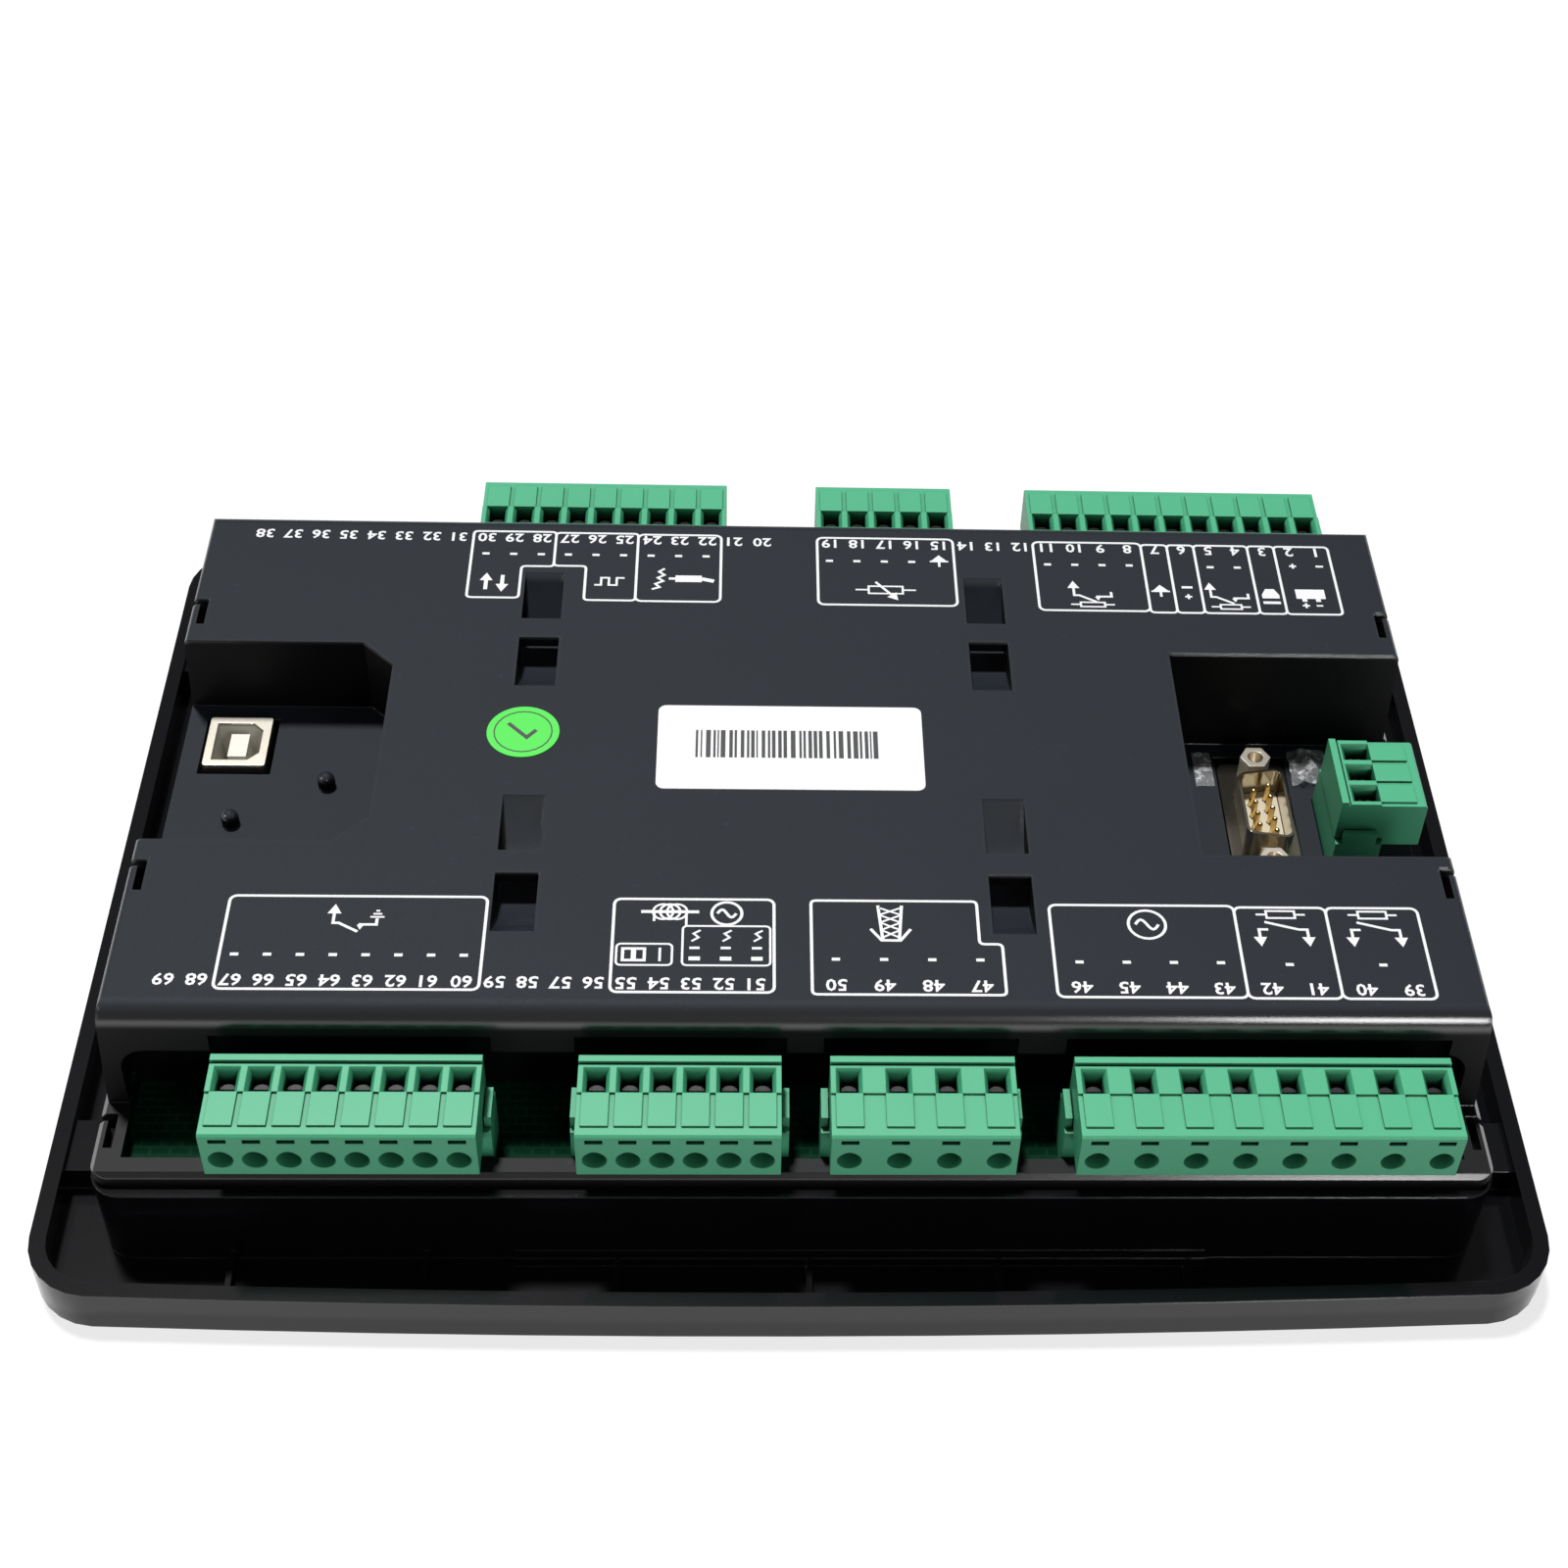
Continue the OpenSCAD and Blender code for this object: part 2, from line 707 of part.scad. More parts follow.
module tie_cut() difference() {
    tie_round(0);
    box([-1, 1] * tie_w, span(0, tie_bridge), [deck_z - wall, deck_z + 1]);
}

// Hooked slot for a panel clip: a bar from the side and a longer bar along it
module clip_cut(x, depth) {
    in = x + side_round + clip_in;
    box([x, in], [-clip_slot, 0], depth);
    box([in - clip_slot, in], [-clip_len, 0], depth);
}

module clip_cuts() {
    for (sx = [0, 1], y = [clip_far, clip_near])
        mirror([sx, 0, 0]) translate([0, y, 0])
            clip_cut(-deck_x - side_round, [deck_z - 2 * wall, deck_z + 1]);
    for (sx = [0, 1], sy = [0, 1])
        mirror([sx, 0, 0]) mirror([0, sy, 0]) translate([0, -deck_y - wall_lean - wall, 0])
            clip_cut(-skirt_x - side_round, [joint_z, ledge_z + 1]);
}

// Long opening for one side's terminals, with a taller notch above each plug
module terminal_cut() {
    mid = open_x + open_grow - open_r;
    box([-1, 1] * (open_x + header_t + 2 * fit), [-strip_y, -wall_in], [joint_z - lip_h - 1, ledge_z + 1]);
    rotate([90, 0, 0]) linear_extrude(strip_y)
        polygon(concat([[-open_x - open_grow, ledge_z + eps], [open_x + open_grow, ledge_z + eps]],
            arc([mid, open_z - open_r], open_r, 0, 90), arc([-mid, open_z - open_r], open_r, 90, 180)));
}

module terminal_cuts() {
    for (sy = [0, 1]) mirror([0, sy, 0]) intersection() {
        terminal_cut();
        box([-body_x, body_x], [-body_y, -wall_in], [0, deck_z]);
    }
    for (row = rows) if (row[2] != SIDE) at_row(row)
        box([-1, 1] * (row_half(row) + plug_end + port_gap), [terminal_y - strip_y, terminal_y - wall_in],
            [ledge_z, notch_z]);
}

// Walls behind the terminals, from the deck down to the main board
module baffles() {
    for (sy = [0, 1]) mirror([0, sy, 0])
        box([wall / 2 - deck_x, deck_x - wall / 2], [-baffle_y, recess_t - baffle_y],
            [board_top + 2 * fit, deck_z - wall / 2]);
}

module service_pegs() {
    for (p = peg_places) translate([p[0] - body_x, p[1], service_floor - eps]) {
        cylinder(d = peg_d, h = peg_d / 2);
        translate([0, 0, peg_d / 2]) intersection() {
            sphere(d = peg_d);
            cylinder(d = 2 * peg_d, h = peg_d);
        }
    }
}

module rear_cover() color("#3c3f44") {
    difference() {
        union() {
            difference() {
                cover_solid(0);
                cover_solid(wall);
            }
            cover_lip();
            recess_walls();
            baffles();
            at_ties() tie_pocket();
        }
        recess_cuts();
        at_ties() tie_cut();
        terminal_cuts();
        clip_cuts();
    }
    service_pegs();
}

// Terminal headers and plugs

module header(row) color("#2f8a5f") at_row(row) {
    end = row_half(row) + plug_end + fit;
    difference() {
        union() {
            box([-1, 1] * (end + header_t), [header_set, header_set + header_d], [board_top, header_top]);
            for (s = [-1, 1]) box(span(s * (end + header_t / 2), header_t),
                [header_set + header_t, header_set + header_d - header_t], [board_top, header_top + ear_h]);
        }
        box([-1, 1] * end, [header_set + header_t, header_set + header_d - header_t],
            [header_floor, header_top + 2 * ear_h]);
        for (x = way_x(row)) translate([x, 0, 0])
            box(span(0, pin_w + fit), span(pin_y, pin_w + fit), [board_top - 1, header_floor + 1]);
    }
}

module header_pins() color("#c9c4b8") for (row = rows) at_ways(row)
    box(span(0, pin_w), span(pin_y, pin_w), [board_z - pin_tail, header_top - pin_low]);

// Section of a plug, from its wire face inwards
function plug_section() =
    let (block = header_set + header_t + plug_gap, block_end = header_set + header_d - header_t - plug_gap)
    [[0, plug_low], [header_set - plug_gap, plug_low], [header_set - plug_gap, seat_z], [block, seat_z],
     [block, header_floor + plug_gap], [block_end, header_floor + plug_gap], [block_end, seat_z],
     [plug_d, seat_z], [plug_d, plug_top + bead], [plug_d - 3 * bead, plug_top + bead],
     [plug_d - 3 * bead, plug_top - bead], [plug_d - 4 * bead, plug_top - bead],
     [plug_d - 4 * bead, plug_top], [step_y, plug_top], [step_y, plug_top - bead],
     [bead, plug_top - bead], [0, plug_top - 2 * bead]];

// Mouth above a clamp screw: its two sides and its far end slope in to the square hole
module funnel() translate([0, square_y, plug_top]) intersection() {
    half = square_l / 2;
    rotate([90, 0, 0]) linear_extrude(4 * square_l, center = true) polygon([
        [-square_w / 2, -funnel_h], [square_w / 2, -funnel_h], [funnel_w / 2, eps], [-funnel_w / 2, eps]]);
    rotate([90, 0, 90]) linear_extrude(2 * funnel_w, center = true) polygon([
        [-half, -funnel_h], [half, -funnel_h], [half + funnel_far, eps], [-half, eps]]);
}

module way_cuts() {
    box(span(0, square_w), span(square_y, square_l), [cage_top, plug_top + 1]);
    funnel();
    box(span(0, cage_w + 2 * fit), span(square_y, cage_l + 2 * fit), [cage_z - fit, cage_top + fit]);
    translate([0, -1, wire_z]) rotate([-90, 0, 0]) cylinder(d = wire_d, h = wire_d + 1);
    translate([0, 0, cage_z + throat_d / 2 + fit]) rotate([-90, 0, 0]) cylinder(d = throat_d, h = square_y);
    box(span(0, nick_w), [-1, nick_d], [plug_top - 2.5 * nick_d, plug_top - 1.5 * nick_d]);
    box(span(0, pin_w + 2 * fit), span(pin_y, pin_w + 2 * fit),
        [header_floor - 1, header_top - pin_low + 3 * fit]);
}

module plug(row) color("#4fae7f") at_row(row) {
    difference() {
        rotate([90, 0, 90]) linear_extrude(2 * (row_half(row) + plug_end), center = true)
            polygon(plug_section());
        for (x = way_x(row)) translate([x, 0, 0]) way_cuts();
    }
    for (x = way_x(row)) translate([x, 0, 0])
        box(span(0, pad_w), [pad_y, step_y + eps], [plug_top - 2 * bead, plug_top]);
}

module clamp_cages() color("#c8cacc") for (row = rows) at_ways(row) difference() {
    box(span(0, cage_w), span(square_y, cage_l), [cage_z, cage_top]);
    box(span(0, cage_w - 2 * cage_t), span(square_y, 2 * cage_l), [cage_z + cage_t, cage_top - 2 * cage_t]);
    translate([0, square_y, cage_z + 2 * cage_t]) cylinder(d = clamp_d + fit, h = cage_h);
}

module clamp_screws() color("#d8d9d6")
    for (row = rows) at_ways(row) translate([0, square_y, 0]) difference() {
    union() {
        translate([0, 0, cage_z + cage_h / 2]) cylinder(d = clamp_d, h = cage_h / 2 + eps);
        translate([0, 0, cage_top]) cylinder(d = square_w - fit, h = clamp_h);
    }
    translate([0, 0, cage_top + clamp_h]) cube([square_w, slot_w, clamp_h], center = true);
}

// Service socket

inner_w = service_w - 2 * shell_t;
inner_l = service_l - 2 * shell_t;
mouth_w = service_w - 2 * mouth_t;
mouth_l = service_l - 2 * mouth_t;
socket_outline = [
    [-mouth_w / 2, -mouth_l / 2], [mouth_w / 2 - mouth_cut, -mouth_l / 2],
    [mouth_w / 2, mouth_cut - mouth_l / 2], [mouth_w / 2, mouth_l / 2 - mouth_cut],
    [mouth_w / 2 - mouth_cut, mouth_l / 2], [-mouth_w / 2, mouth_l / 2]];

module service_shell() color("#d4d2cc") at(service_mid) difference() {
    plate(round_rect(service_w, service_l, shell_t), board_top, service_top);
    plate(round_rect(inner_w, inner_l, shell_t / 2), board_top - 1, service_top - shell_t);
    plate(socket_outline, board_top, service_top + 1);
}

module service_insert() color("#ece9df") at(service_mid) {
    difference() {
        plate(round_rect(inner_w - 2 * fit, inner_l - 2 * fit, fit), board_top, service_top - shell_t - fit);
        plate(socket_outline, board_top + mouth_t, service_top + 1);
    }
    box(span(0, tongue_w), span(0, tongue_l), [board_top, service_top - 2 * shell_t]);
}

// Serial port

// D outline: the side towards +X is the longer one
function d_outline(grow) =
    let (w = shell_w / 2 + grow, l = shell_l / 2 + grow, r = shell_r + grow)
    concat(arc([w - r, l - r], r, 0, 90, 4), arc([r - w, l - r - shell_lean], r, 90, 180, 4),
        arc([r - w, r - l + shell_lean], r, 180, 270, 4), arc([w - r, r - l], r, 270, 360, 4));

module serial_shell() color("#cfc6b4") at(serial_mid) difference() {
    union() {
        plate(round_rect(flange_w, flange_l, shell_r), flange_z, flange_top);
        plate(d_outline(0), flange_z, shell_top);
    }
    plate(d_outline(-shell_t), flange_z - 1, shell_top + 1);
    jack_holes();
}

module jack_holes() {
    for (s = [-1, 1]) translate([0, s * jack_pitch / 2, board_top - 1])
        cylinder(d = jack_d + 2 * fit, h = jack_h);
}

module serial_insulator() color("#e4dcc8") at(serial_mid) difference() {
    union() {
        plate(round_rect(flange_w - shell_r, flange_l - shell_r, shell_r / 2), board_top, flange_z);
        plate(d_outline(-shell_t - fit / 2), board_top, flange_top + flange_t);
    }
    jack_holes();
    serial_places() translate([0, 0, board_top - 1]) cylinder(d = pin_w + fit, h = service_rise);
}

module serial_places() {
    for (i = [-2:2]) translate([pin_rows / 2, i * pin_pitch, 0]) children();
    for (i = [-1.5:1.5]) translate([-pin_rows / 2, i * pin_pitch, 0]) children();
}

module serial_pins() color("#c9a24a") at(serial_mid) serial_places() {
    translate([0, 0, board_top]) cylinder(d = pin_w, h = shell_top - board_top - pin_low);
    translate([0, 0, shell_top - pin_low]) sphere(d = pin_w);
}

module jack_screws() color("#d7d5cf") at(serial_mid) for (s = [-1, 1]) translate([0, s * jack_pitch / 2, 0])
    difference() {
        union() {
            translate([0, 0, flange_top]) cylinder(d = jack_w / cos(30), h = jack_h, $fn = 6);
            translate([0, 0, board_top]) cylinder(d = jack_d, h = flange_top - board_top + eps);
        }
        translate([0, 0, flange_top + jack_floor]) cylinder(d = jack_bore, h = jack_h);
    }

// Labels and film

module rear_label() color("#f2f3f4") at(label_mid)
    plate(round_rect(label_w, label_h, 1.4), deck_z, deck_z + label_t);

module check_sticker() color("#63e356") at(sticker_mid)
    translate([0, 0, deck_z]) cylinder(d = sticker_d, h = label_t);

module clear_film() color("#dfe5ea", 0.5)
    at([serial_mid[0] + flange_w / 2 + scrap_l / 2 + port_gap, serial_far - scrap_l])
        plate(round_rect(scrap_l, scrap_w, fit), serial_floor, serial_floor + label_t);

front_housing();
front_film();
display_window();
display_module();
display_board();
display_screws();
key(key_places()[0]);  // key_up
key(key_places()[1]);  // key_down
key(key_places()[2]);  // key_left
key(key_places()[3]);  // key_right
key(key_places()[4]);  // key_enter
key(key_places()[5]);  // key_stop
key(key_places()[6]);  // key_manual
key(key_places()[7]);  // key_auto
key(key_places()[8]);  // key_mute
key(key_places()[9]);  // key_start
key_switches();
status_lights();
board_link();
main_board();
board_screws();
relays();
capacitors();
rear_cover();
header(row_near_a);  // header_near_a
header(row_near_b);  // header_near_b
header(row_near_c);  // header_near_c
header(row_near_d);  // header_near_d
header(row_far_a);  // header_far_a
header(row_far_b);  // header_far_b
header(row_far_c);  // header_far_c
header(row_side);  // header_side
header_pins();
plug(row_near_a);  // plug_near_a
plug(row_near_b);  // plug_near_b
plug(row_near_c);  // plug_near_c
plug(row_near_d);  // plug_near_d
plug(row_far_a);  // plug_far_a
plug(row_far_b);  // plug_far_b
plug(row_far_c);  // plug_far_c
plug(row_side);  // plug_side
clamp_cages();
clamp_screws();
service_shell();
service_insert();
serial_shell();
serial_insulator();
serial_pins();
jack_screws();
rear_label();
check_sticker();
clear_film();
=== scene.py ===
"""Looks of a panel-mounted generator controller that lies on its front, with its rear side up."""

import json
import math
import random

import bmesh
import bpy
from mathutils import Euler, Matrix, Vector


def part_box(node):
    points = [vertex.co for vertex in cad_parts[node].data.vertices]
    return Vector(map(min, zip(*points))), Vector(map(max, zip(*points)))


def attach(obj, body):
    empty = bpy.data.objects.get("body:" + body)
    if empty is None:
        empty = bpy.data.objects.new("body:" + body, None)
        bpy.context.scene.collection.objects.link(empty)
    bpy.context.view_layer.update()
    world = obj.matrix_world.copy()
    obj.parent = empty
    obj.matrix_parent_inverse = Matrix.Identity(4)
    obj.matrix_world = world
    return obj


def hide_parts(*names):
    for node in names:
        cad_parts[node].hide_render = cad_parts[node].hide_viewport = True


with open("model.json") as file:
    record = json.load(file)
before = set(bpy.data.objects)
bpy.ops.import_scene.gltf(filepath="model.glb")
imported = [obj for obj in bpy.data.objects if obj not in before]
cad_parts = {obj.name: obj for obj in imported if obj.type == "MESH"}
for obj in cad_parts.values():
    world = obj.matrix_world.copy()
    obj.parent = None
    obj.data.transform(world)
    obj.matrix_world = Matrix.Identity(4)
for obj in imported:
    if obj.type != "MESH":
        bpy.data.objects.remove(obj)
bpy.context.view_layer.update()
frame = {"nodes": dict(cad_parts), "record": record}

MM = 0.001
NODES = frame["nodes"]
BODY = "case"
SLOT_OF = {part["node"]: part["material_slot"] for part in frame["record"]["subparts"]}

# Camera, from a fit to the photograph
IMAGE_PX = 1600
FOCAL_PX = 2571.5
MIDDLE_PX = (886.5, 808.7)
SENSOR_MM = 36
CAMERA_AT = (-9.61, -308.16, 340.49)
CAMERA_TURN = (44.80, -2.38, -1.66)
CAMERA_CLIP = 0.01

# Main light: where it comes from, as the photograph's shadows show, its strength and its width in degrees
MAIN_FROM = (-2.3, 5.0, 15.6)
MAIN_POWER = 4.8
MAIN_WIDTH = 7
# Place, aim, size and power of the area lights
AREA_LIGHTS = {
    "edge_light": ((0.42, -1.2, 0.62), (0.08, -0.06, 0.04), (0.2, 0.3), 3.6),
    "left_light": ((-1.15, -0.2, 0.7), (0, 0, 0.04), (0.25, 0.5), 2),
}
# Brightness of the room as a light and to the camera, and the glow that lightens the floor's shadows
ROOM_LIGHT = 0.15
ROOM_SEEN = 1
FLOOR_TONE = 0.14
FLOOR_GLOW = 0.77
FLOOR_HALF = 20
FLOOR_DROP_MM = 0.05

# Strength of all surface relief, how near two points are one, and from which angle on an edge is sharp
BUMP = 0.35
WELD_MM = 0.001
SHARP_DEG = 35
# Samples of rounded edges and of the painted shade in hollows
EDGE_SAMPLES = 4
PAINTED_SHADE_SAMPLES = 6
# Openness at which the painted shade in hollows is darkest and at which there is none, and its tone when
# darkest
PAINTED_SHADE_OPEN = (0.25, 0.68)
PAINTED_SHADE_TONE = (0.03, 0.03, 0.03)
# Cloudiness of plastic, in cycles for each millimetre, and how much its roughness varies
CLOUD = 0.05
UNEVEN = 0.06

# Moulded case, with lengths in millimetres
# Radius of its edges below the deck and at its level, and the heights between which it grows
EDGE_R = (0.35, 1.1)
EDGE_RISE = (33, 39)
# Where the texture and the painted lighter tone of the deck fade out towards its near and far edges, from
# the middle
TEXTURE_AND_PAINTED_LIGHT_END = (57.9, 59.2)
# Where the far tie channels get painted shade and grow dull: along the depth, below the deck and from the
# middle
CHANNEL_FADE = (31, 35)
CHANNEL_DROP = (1.2, 0.3)
CHANNEL_SPAN = (51, 52)
CHANNEL_PAINTED_SHADE = 0.6
CHANNEL_ROUGH = 1.5
# Slopes, 0 on a wall and 1 on the deck, where the texture and the painted lighter tone begin and where an
# edge's coat begins and ends
UP_SLOPE = (0.2, 0.7)
COAT_BEGIN = (0.1, 0.3)
COAT_END = (0.8, 0.92)
COAT_ROUGH = 0.17
COAT_IOR = 1.85
# Clouds, dust and grain in cycles for each millimetre, and how much of the grain the walls have
CASE_CLOUD = 0.03
DUST = 0.9
DUST_FROM = (0.72, 0.78)
DUST_COVER = 0.35
CASE_GRAIN = 3.2
CASE_DEPTH = 0.02
WALL_GRAIN = 0.12

# Print, in millimetres
LINE_W = 0.48
PRINT_T = 0.04
# Strokes drawn one after the other lie on as many slightly different levels
LEVELS = 11
# A sharp corner of a stroke reaches no further than half its width divided by this
MITRE = 0.4
NUMBER_H = 2.45
# How much wider and bolder the numbers are than their font, the latter in parts of the font's size
NUMBER_WIDE = 1.05
NUMBER_BOLD = 0.018
FRAME_R = 1.1
CORNER_R = 0.8
# Depth of a number row at the middle of the deck, and its lean along the deck
NEAR_ROW = (-53.85, -0.0055)
FAR_ROW = (53.2, -0.0082)

# Clear film, in millimetres: its thickness, and where its smooth end lies along the recess
FILM_T = 0.06
FILM_END = (72.6, 76)
# Its lift off the ground, and the height of its folds and creases where it is crinkled
FILM_LIFT = 0.1
FILM_FOLD = 1.3
FILM_CREASE = 0.9


# Node helpers

def new_material(name):
    """A material with a Principled shader: (material, node tree, shader)."""
    mat = bpy.data.materials.new(name)
    mat.use_nodes = True
    return mat, mat.node_tree, mat.node_tree.nodes["Principled BSDF"]


def metres(span_mm):
    return [v * MM for v in span_mm]


def shade(colour, by):
    return tuple(c * by for c in colour)


def place(tree):
    """The place on a piece, in the part's own coordinates."""
    return tree.nodes.new("ShaderNodeTexCoord").outputs["Object"]


def axes(tree, vector):
    """The sockets X, Y and Z of a vector."""
    node = tree.nodes.new("ShaderNodeSeparateXYZ")
    tree.links.new(vector, node.inputs["Vector"])
    return node.outputs


def calc(tree, operation, *values):
    """Result of a Math node on one or two sockets."""
    node = tree.nodes.new("ShaderNodeMath")
    node.operation = operation
    for i, value in enumerate(values):
        tree.links.new(value, node.inputs[i])
    return node.outputs["Value"]


def times(tree, a, b):
    return calc(tree, "MULTIPLY", a, b)


def noise(tree, scale, detail=2.0, rough=0.5):
    """Noise in the part's own coordinates; scale is in cycles for each millimetre."""
    node = tree.nodes.new("ShaderNodeTexNoise")
    node.inputs["Scale"].default_value = scale / MM
    node.inputs["Detail"].default_value = detail
    node.inputs["Roughness"].default_value = rough
    tree.links.new(place(tree), node.inputs["Vector"])
    return node.outputs["Fac"]


def spread(tree, value, low, high, start=0.0, end=1.0):
    """Maps value from start..end to low..high."""
    node = tree.nodes.new("ShaderNodeMapRange")
    node.inputs["From Min"].default_value = start
    node.inputs["From Max"].default_value = end
    node.inputs["To Min"].default_value = low
    node.inputs["To Max"].default_value = high
    tree.links.new(value, node.inputs["Value"])
    return node.outputs["Result"]


def blend(tree, fac, a, b):
    """Mixes two colours or colour sockets by fac."""
    node = tree.nodes.new("ShaderNodeMix")
    node.data_type = "RGBA"
    tree.links.new(fac, node.inputs["Factor"])
    for value, socket in ((a, node.inputs["A"]), (b, node.inputs["B"])):
        if isinstance(value, bpy.types.NodeSocket):
            tree.links.new(value, socket)
        else:
            socket.default_value = (*value, 1)
    return node.outputs["Result"]


def bump(tree, shader, height, depth_mm, edge=None):
    """Surface relief of depth_mm, over rounded edges where edge gives their normal."""
    node = tree.nodes.new("ShaderNodeBump")
    node.inputs["Strength"].default_value = BUMP
    node.inputs["Distance"].default_value = depth_mm * MM
    tree.links.new(height, node.inputs["Height"])
    if edge:
        tree.links.new(edge, node.inputs["Normal"])
    tree.links.new(node.outputs["Normal"], shader.inputs["Normal"])


def edge_node(tree):
    node = tree.nodes.new("ShaderNodeBevel")
    node.samples = EDGE_SAMPLES
    return node


def round_edge(tree, radius_mm):
    """Normal of a surface whose edges are rounded by radius_mm."""
    node = edge_node(tree)
    node.inputs["Radius"].default_value = radius_mm * MM
    return node.outputs["Normal"]


def deck_edge(tree):
    """Normal of a surface whose edges are rounder at the level of the deck than below it."""
    node = edge_node(tree)
    height = axes(tree, place(tree))["Z"]
    tree.links.new(spread(tree, height, *metres(EDGE_R), *metres(EDGE_RISE)), node.inputs["Radius"])
    return node.outputs["Normal"]


def hollow(tree, colour, reach_mm):
    """Paints shade into colour in holes and corners that are narrower than about reach_mm."""
    shut = tree.nodes.new("ShaderNodeAmbientOcclusion")
    shut.samples = PAINTED_SHADE_SAMPLES
    shut.inputs["Distance"].default_value = reach_mm * MM
    deep = tree.nodes.new("ShaderNodeMix")
    deep.data_type = "RGBA"
    deep.blend_type = "MULTIPLY"
    deep.inputs["B"].default_value = (*PAINTED_SHADE_TONE, 1)
    tree.links.new(spread(tree, shut.outputs["AO"], 1, 0, *PAINTED_SHADE_OPEN), deep.inputs["Factor"])
    tree.links.new(colour, deep.inputs["A"])
    return deep.outputs["Result"]


def inside(tree):
    """1 on the deck, 0 from its rounded near and far edges on, where the moulded texture and the painted
    lighter tone end.
    """
    depth = calc(tree, "ABSOLUTE", axes(tree, place(tree))["Y"])
    return spread(tree, depth, 1, 0, *metres(TEXTURE_AND_PAINTED_LIGHT_END))


def channel_ends(tree):
    """1 on the deck, 0 in the far ends of the far tie channels, whose floors get painted shade and are
    dull.
    """
    spot = axes(tree, place(tree))
    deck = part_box("rear_cover")[1].z
    low = spread(tree, spot["Z"], 1, 0, *(deck - drop for drop in metres(CHANNEL_DROP)))
    far = spread(tree, spot["Y"], 0, 1, *metres(CHANNEL_FADE))
    mid = spread(tree, calc(tree, "ABSOLUTE", spot["X"]), 1, 0, *metres(CHANNEL_SPAN))
    return spread(tree, times(tree, times(tree, low, far), mid), 1, 0)


# Materials

def plastic(name, colour, rough, grain=2.0, depth=0.02, vary=0.1, specular=0.5, edge=0.0, reach=0.0):
    """Moulded plastic: slight cloudiness, fine grain, uneven gloss, painted shade in hollows up to reach.
    """
    mat, tree, shader = new_material(name)
    cloud = noise(tree, CLOUD, 3)
    colours = blend(tree, cloud, shade(colour, 1 - vary), shade(colour, 1 + vary))
    if reach:
        colours = hollow(tree, colours, reach)
    tree.links.new(colours, shader.inputs["Base Color"])
    fine = noise(tree, grain, 3, 0.6)
    tree.links.new(spread(tree, fine, rough - UNEVEN, rough + UNEVEN), shader.inputs["Roughness"])
    shader.inputs["Specular IOR Level"].default_value = specular
    bump(tree, shader, fine, depth, round_edge(tree, edge) if edge else None)
    return mat


def case_plastic(name, top, wall, top_rough, wall_rough, specular):
    """Moulded case: fine texture on faces that look up, which are also painted lighter as by light from
    above, black walls, glossy edges, a little dust, painted shade in the far tie channels.
    """
    mat, tree, shader = new_material(name)
    edge = deck_edge(tree)
    slope = axes(tree, edge)["Z"]
    up = times(tree, spread(tree, slope, 0, 1, *UP_SLOPE), inside(tree))
    ends = channel_ends(tree)
    # Faces that look up get the lighter top colour and walls the black one: partly a finer texture,
    # partly painted light from above
    tops = blend(tree, noise(tree, CASE_CLOUD, 3), shade(top, 0.93), shade(top, 1.07))
    # The far ends of the far tie channels are darkened as painted shade
    colours = blend(tree, times(tree, up, spread(tree, ends, CHANNEL_PAINTED_SHADE, 1)), wall, tops)
    dust = spread(tree, noise(tree, DUST, 2), 0, DUST_COVER, *DUST_FROM)
    tree.links.new(blend(tree, dust, colours, shade(top, 3)), shader.inputs["Base Color"])
    fine = noise(tree, CASE_GRAIN, 3, 0.6)
    gloss = times(tree, spread(tree, up, wall_rough, top_rough), spread(tree, ends, CHANNEL_ROUGH, 1))
    tree.links.new(times(tree, gloss, spread(tree, fine, 0.88, 1.12)), shader.inputs["Roughness"])
    shader.inputs["Specular IOR Level"].default_value = specular
    corner = times(tree, spread(tree, slope, 0, 1, *COAT_BEGIN), spread(tree, slope, 1, 0, *COAT_END))
    tree.links.new(times(tree, corner, ends), shader.inputs["Coat Weight"])
    shader.inputs["Coat Roughness"].default_value = COAT_ROUGH
    shader.inputs["Coat IOR"].default_value = COAT_IOR
    tree.links.new(edge, shader.inputs["Coat Normal"])
    bump(tree, shader, times(tree, fine, spread(tree, up, WALL_GRAIN, 1)), CASE_DEPTH)
    return mat


def metal(name, colour, rough, scratch=6.0, edge=0.15, reach=0.0):
    """Plated metal with faint uneven gloss, painted shade in hollows up to reach."""
    mat, tree, shader = new_material(name)
    fine = noise(tree, scratch, 4, 0.7)
    colours = blend(tree, fine, shade(colour, 0.86), colour)
    if reach:
        colours = hollow(tree, colours, reach)
    tree.links.new(colours, shader.inputs["Base Color"])
    tree.links.new(spread(tree, fine, rough - UNEVEN, rough + 0.1), shader.inputs["Roughness"])
    shader.inputs["Metallic"].default_value = 1
    bump(tree, shader, fine, 0.005, round_edge(tree, edge))
    return mat


def board(name):
    """Circuit board: dark green lacquer, divided by slightly paler tracks."""
    mat, tree, shader = new_material(name)
    brick = tree.nodes.new("ShaderNodeTexBrick")
    brick.inputs["Scale"].default_value = 0.16 / MM
    brick.inputs["Mortar Size"].default_value = 0.04
    brick.inputs["Color1"].default_value = (0.001, 0.013, 0.006, 1)
    brick.inputs["Color2"].default_value = (0.001, 0.015, 0.007, 1)
    brick.inputs["Mortar"].default_value = (0.002, 0.024, 0.011, 1)
    tree.links.new(place(tree), brick.inputs["Vector"])
    tree.links.new(brick.outputs["Color"], shader.inputs["Base Color"])
    tree.links.new(spread(tree, noise(tree, 1.5), 0.4, 0.55), shader.inputs["Roughness"])
    shader.inputs["Specular IOR Level"].default_value = 0.01
    bump(tree, shader, brick.outputs["Fac"], 0.03)
    return mat


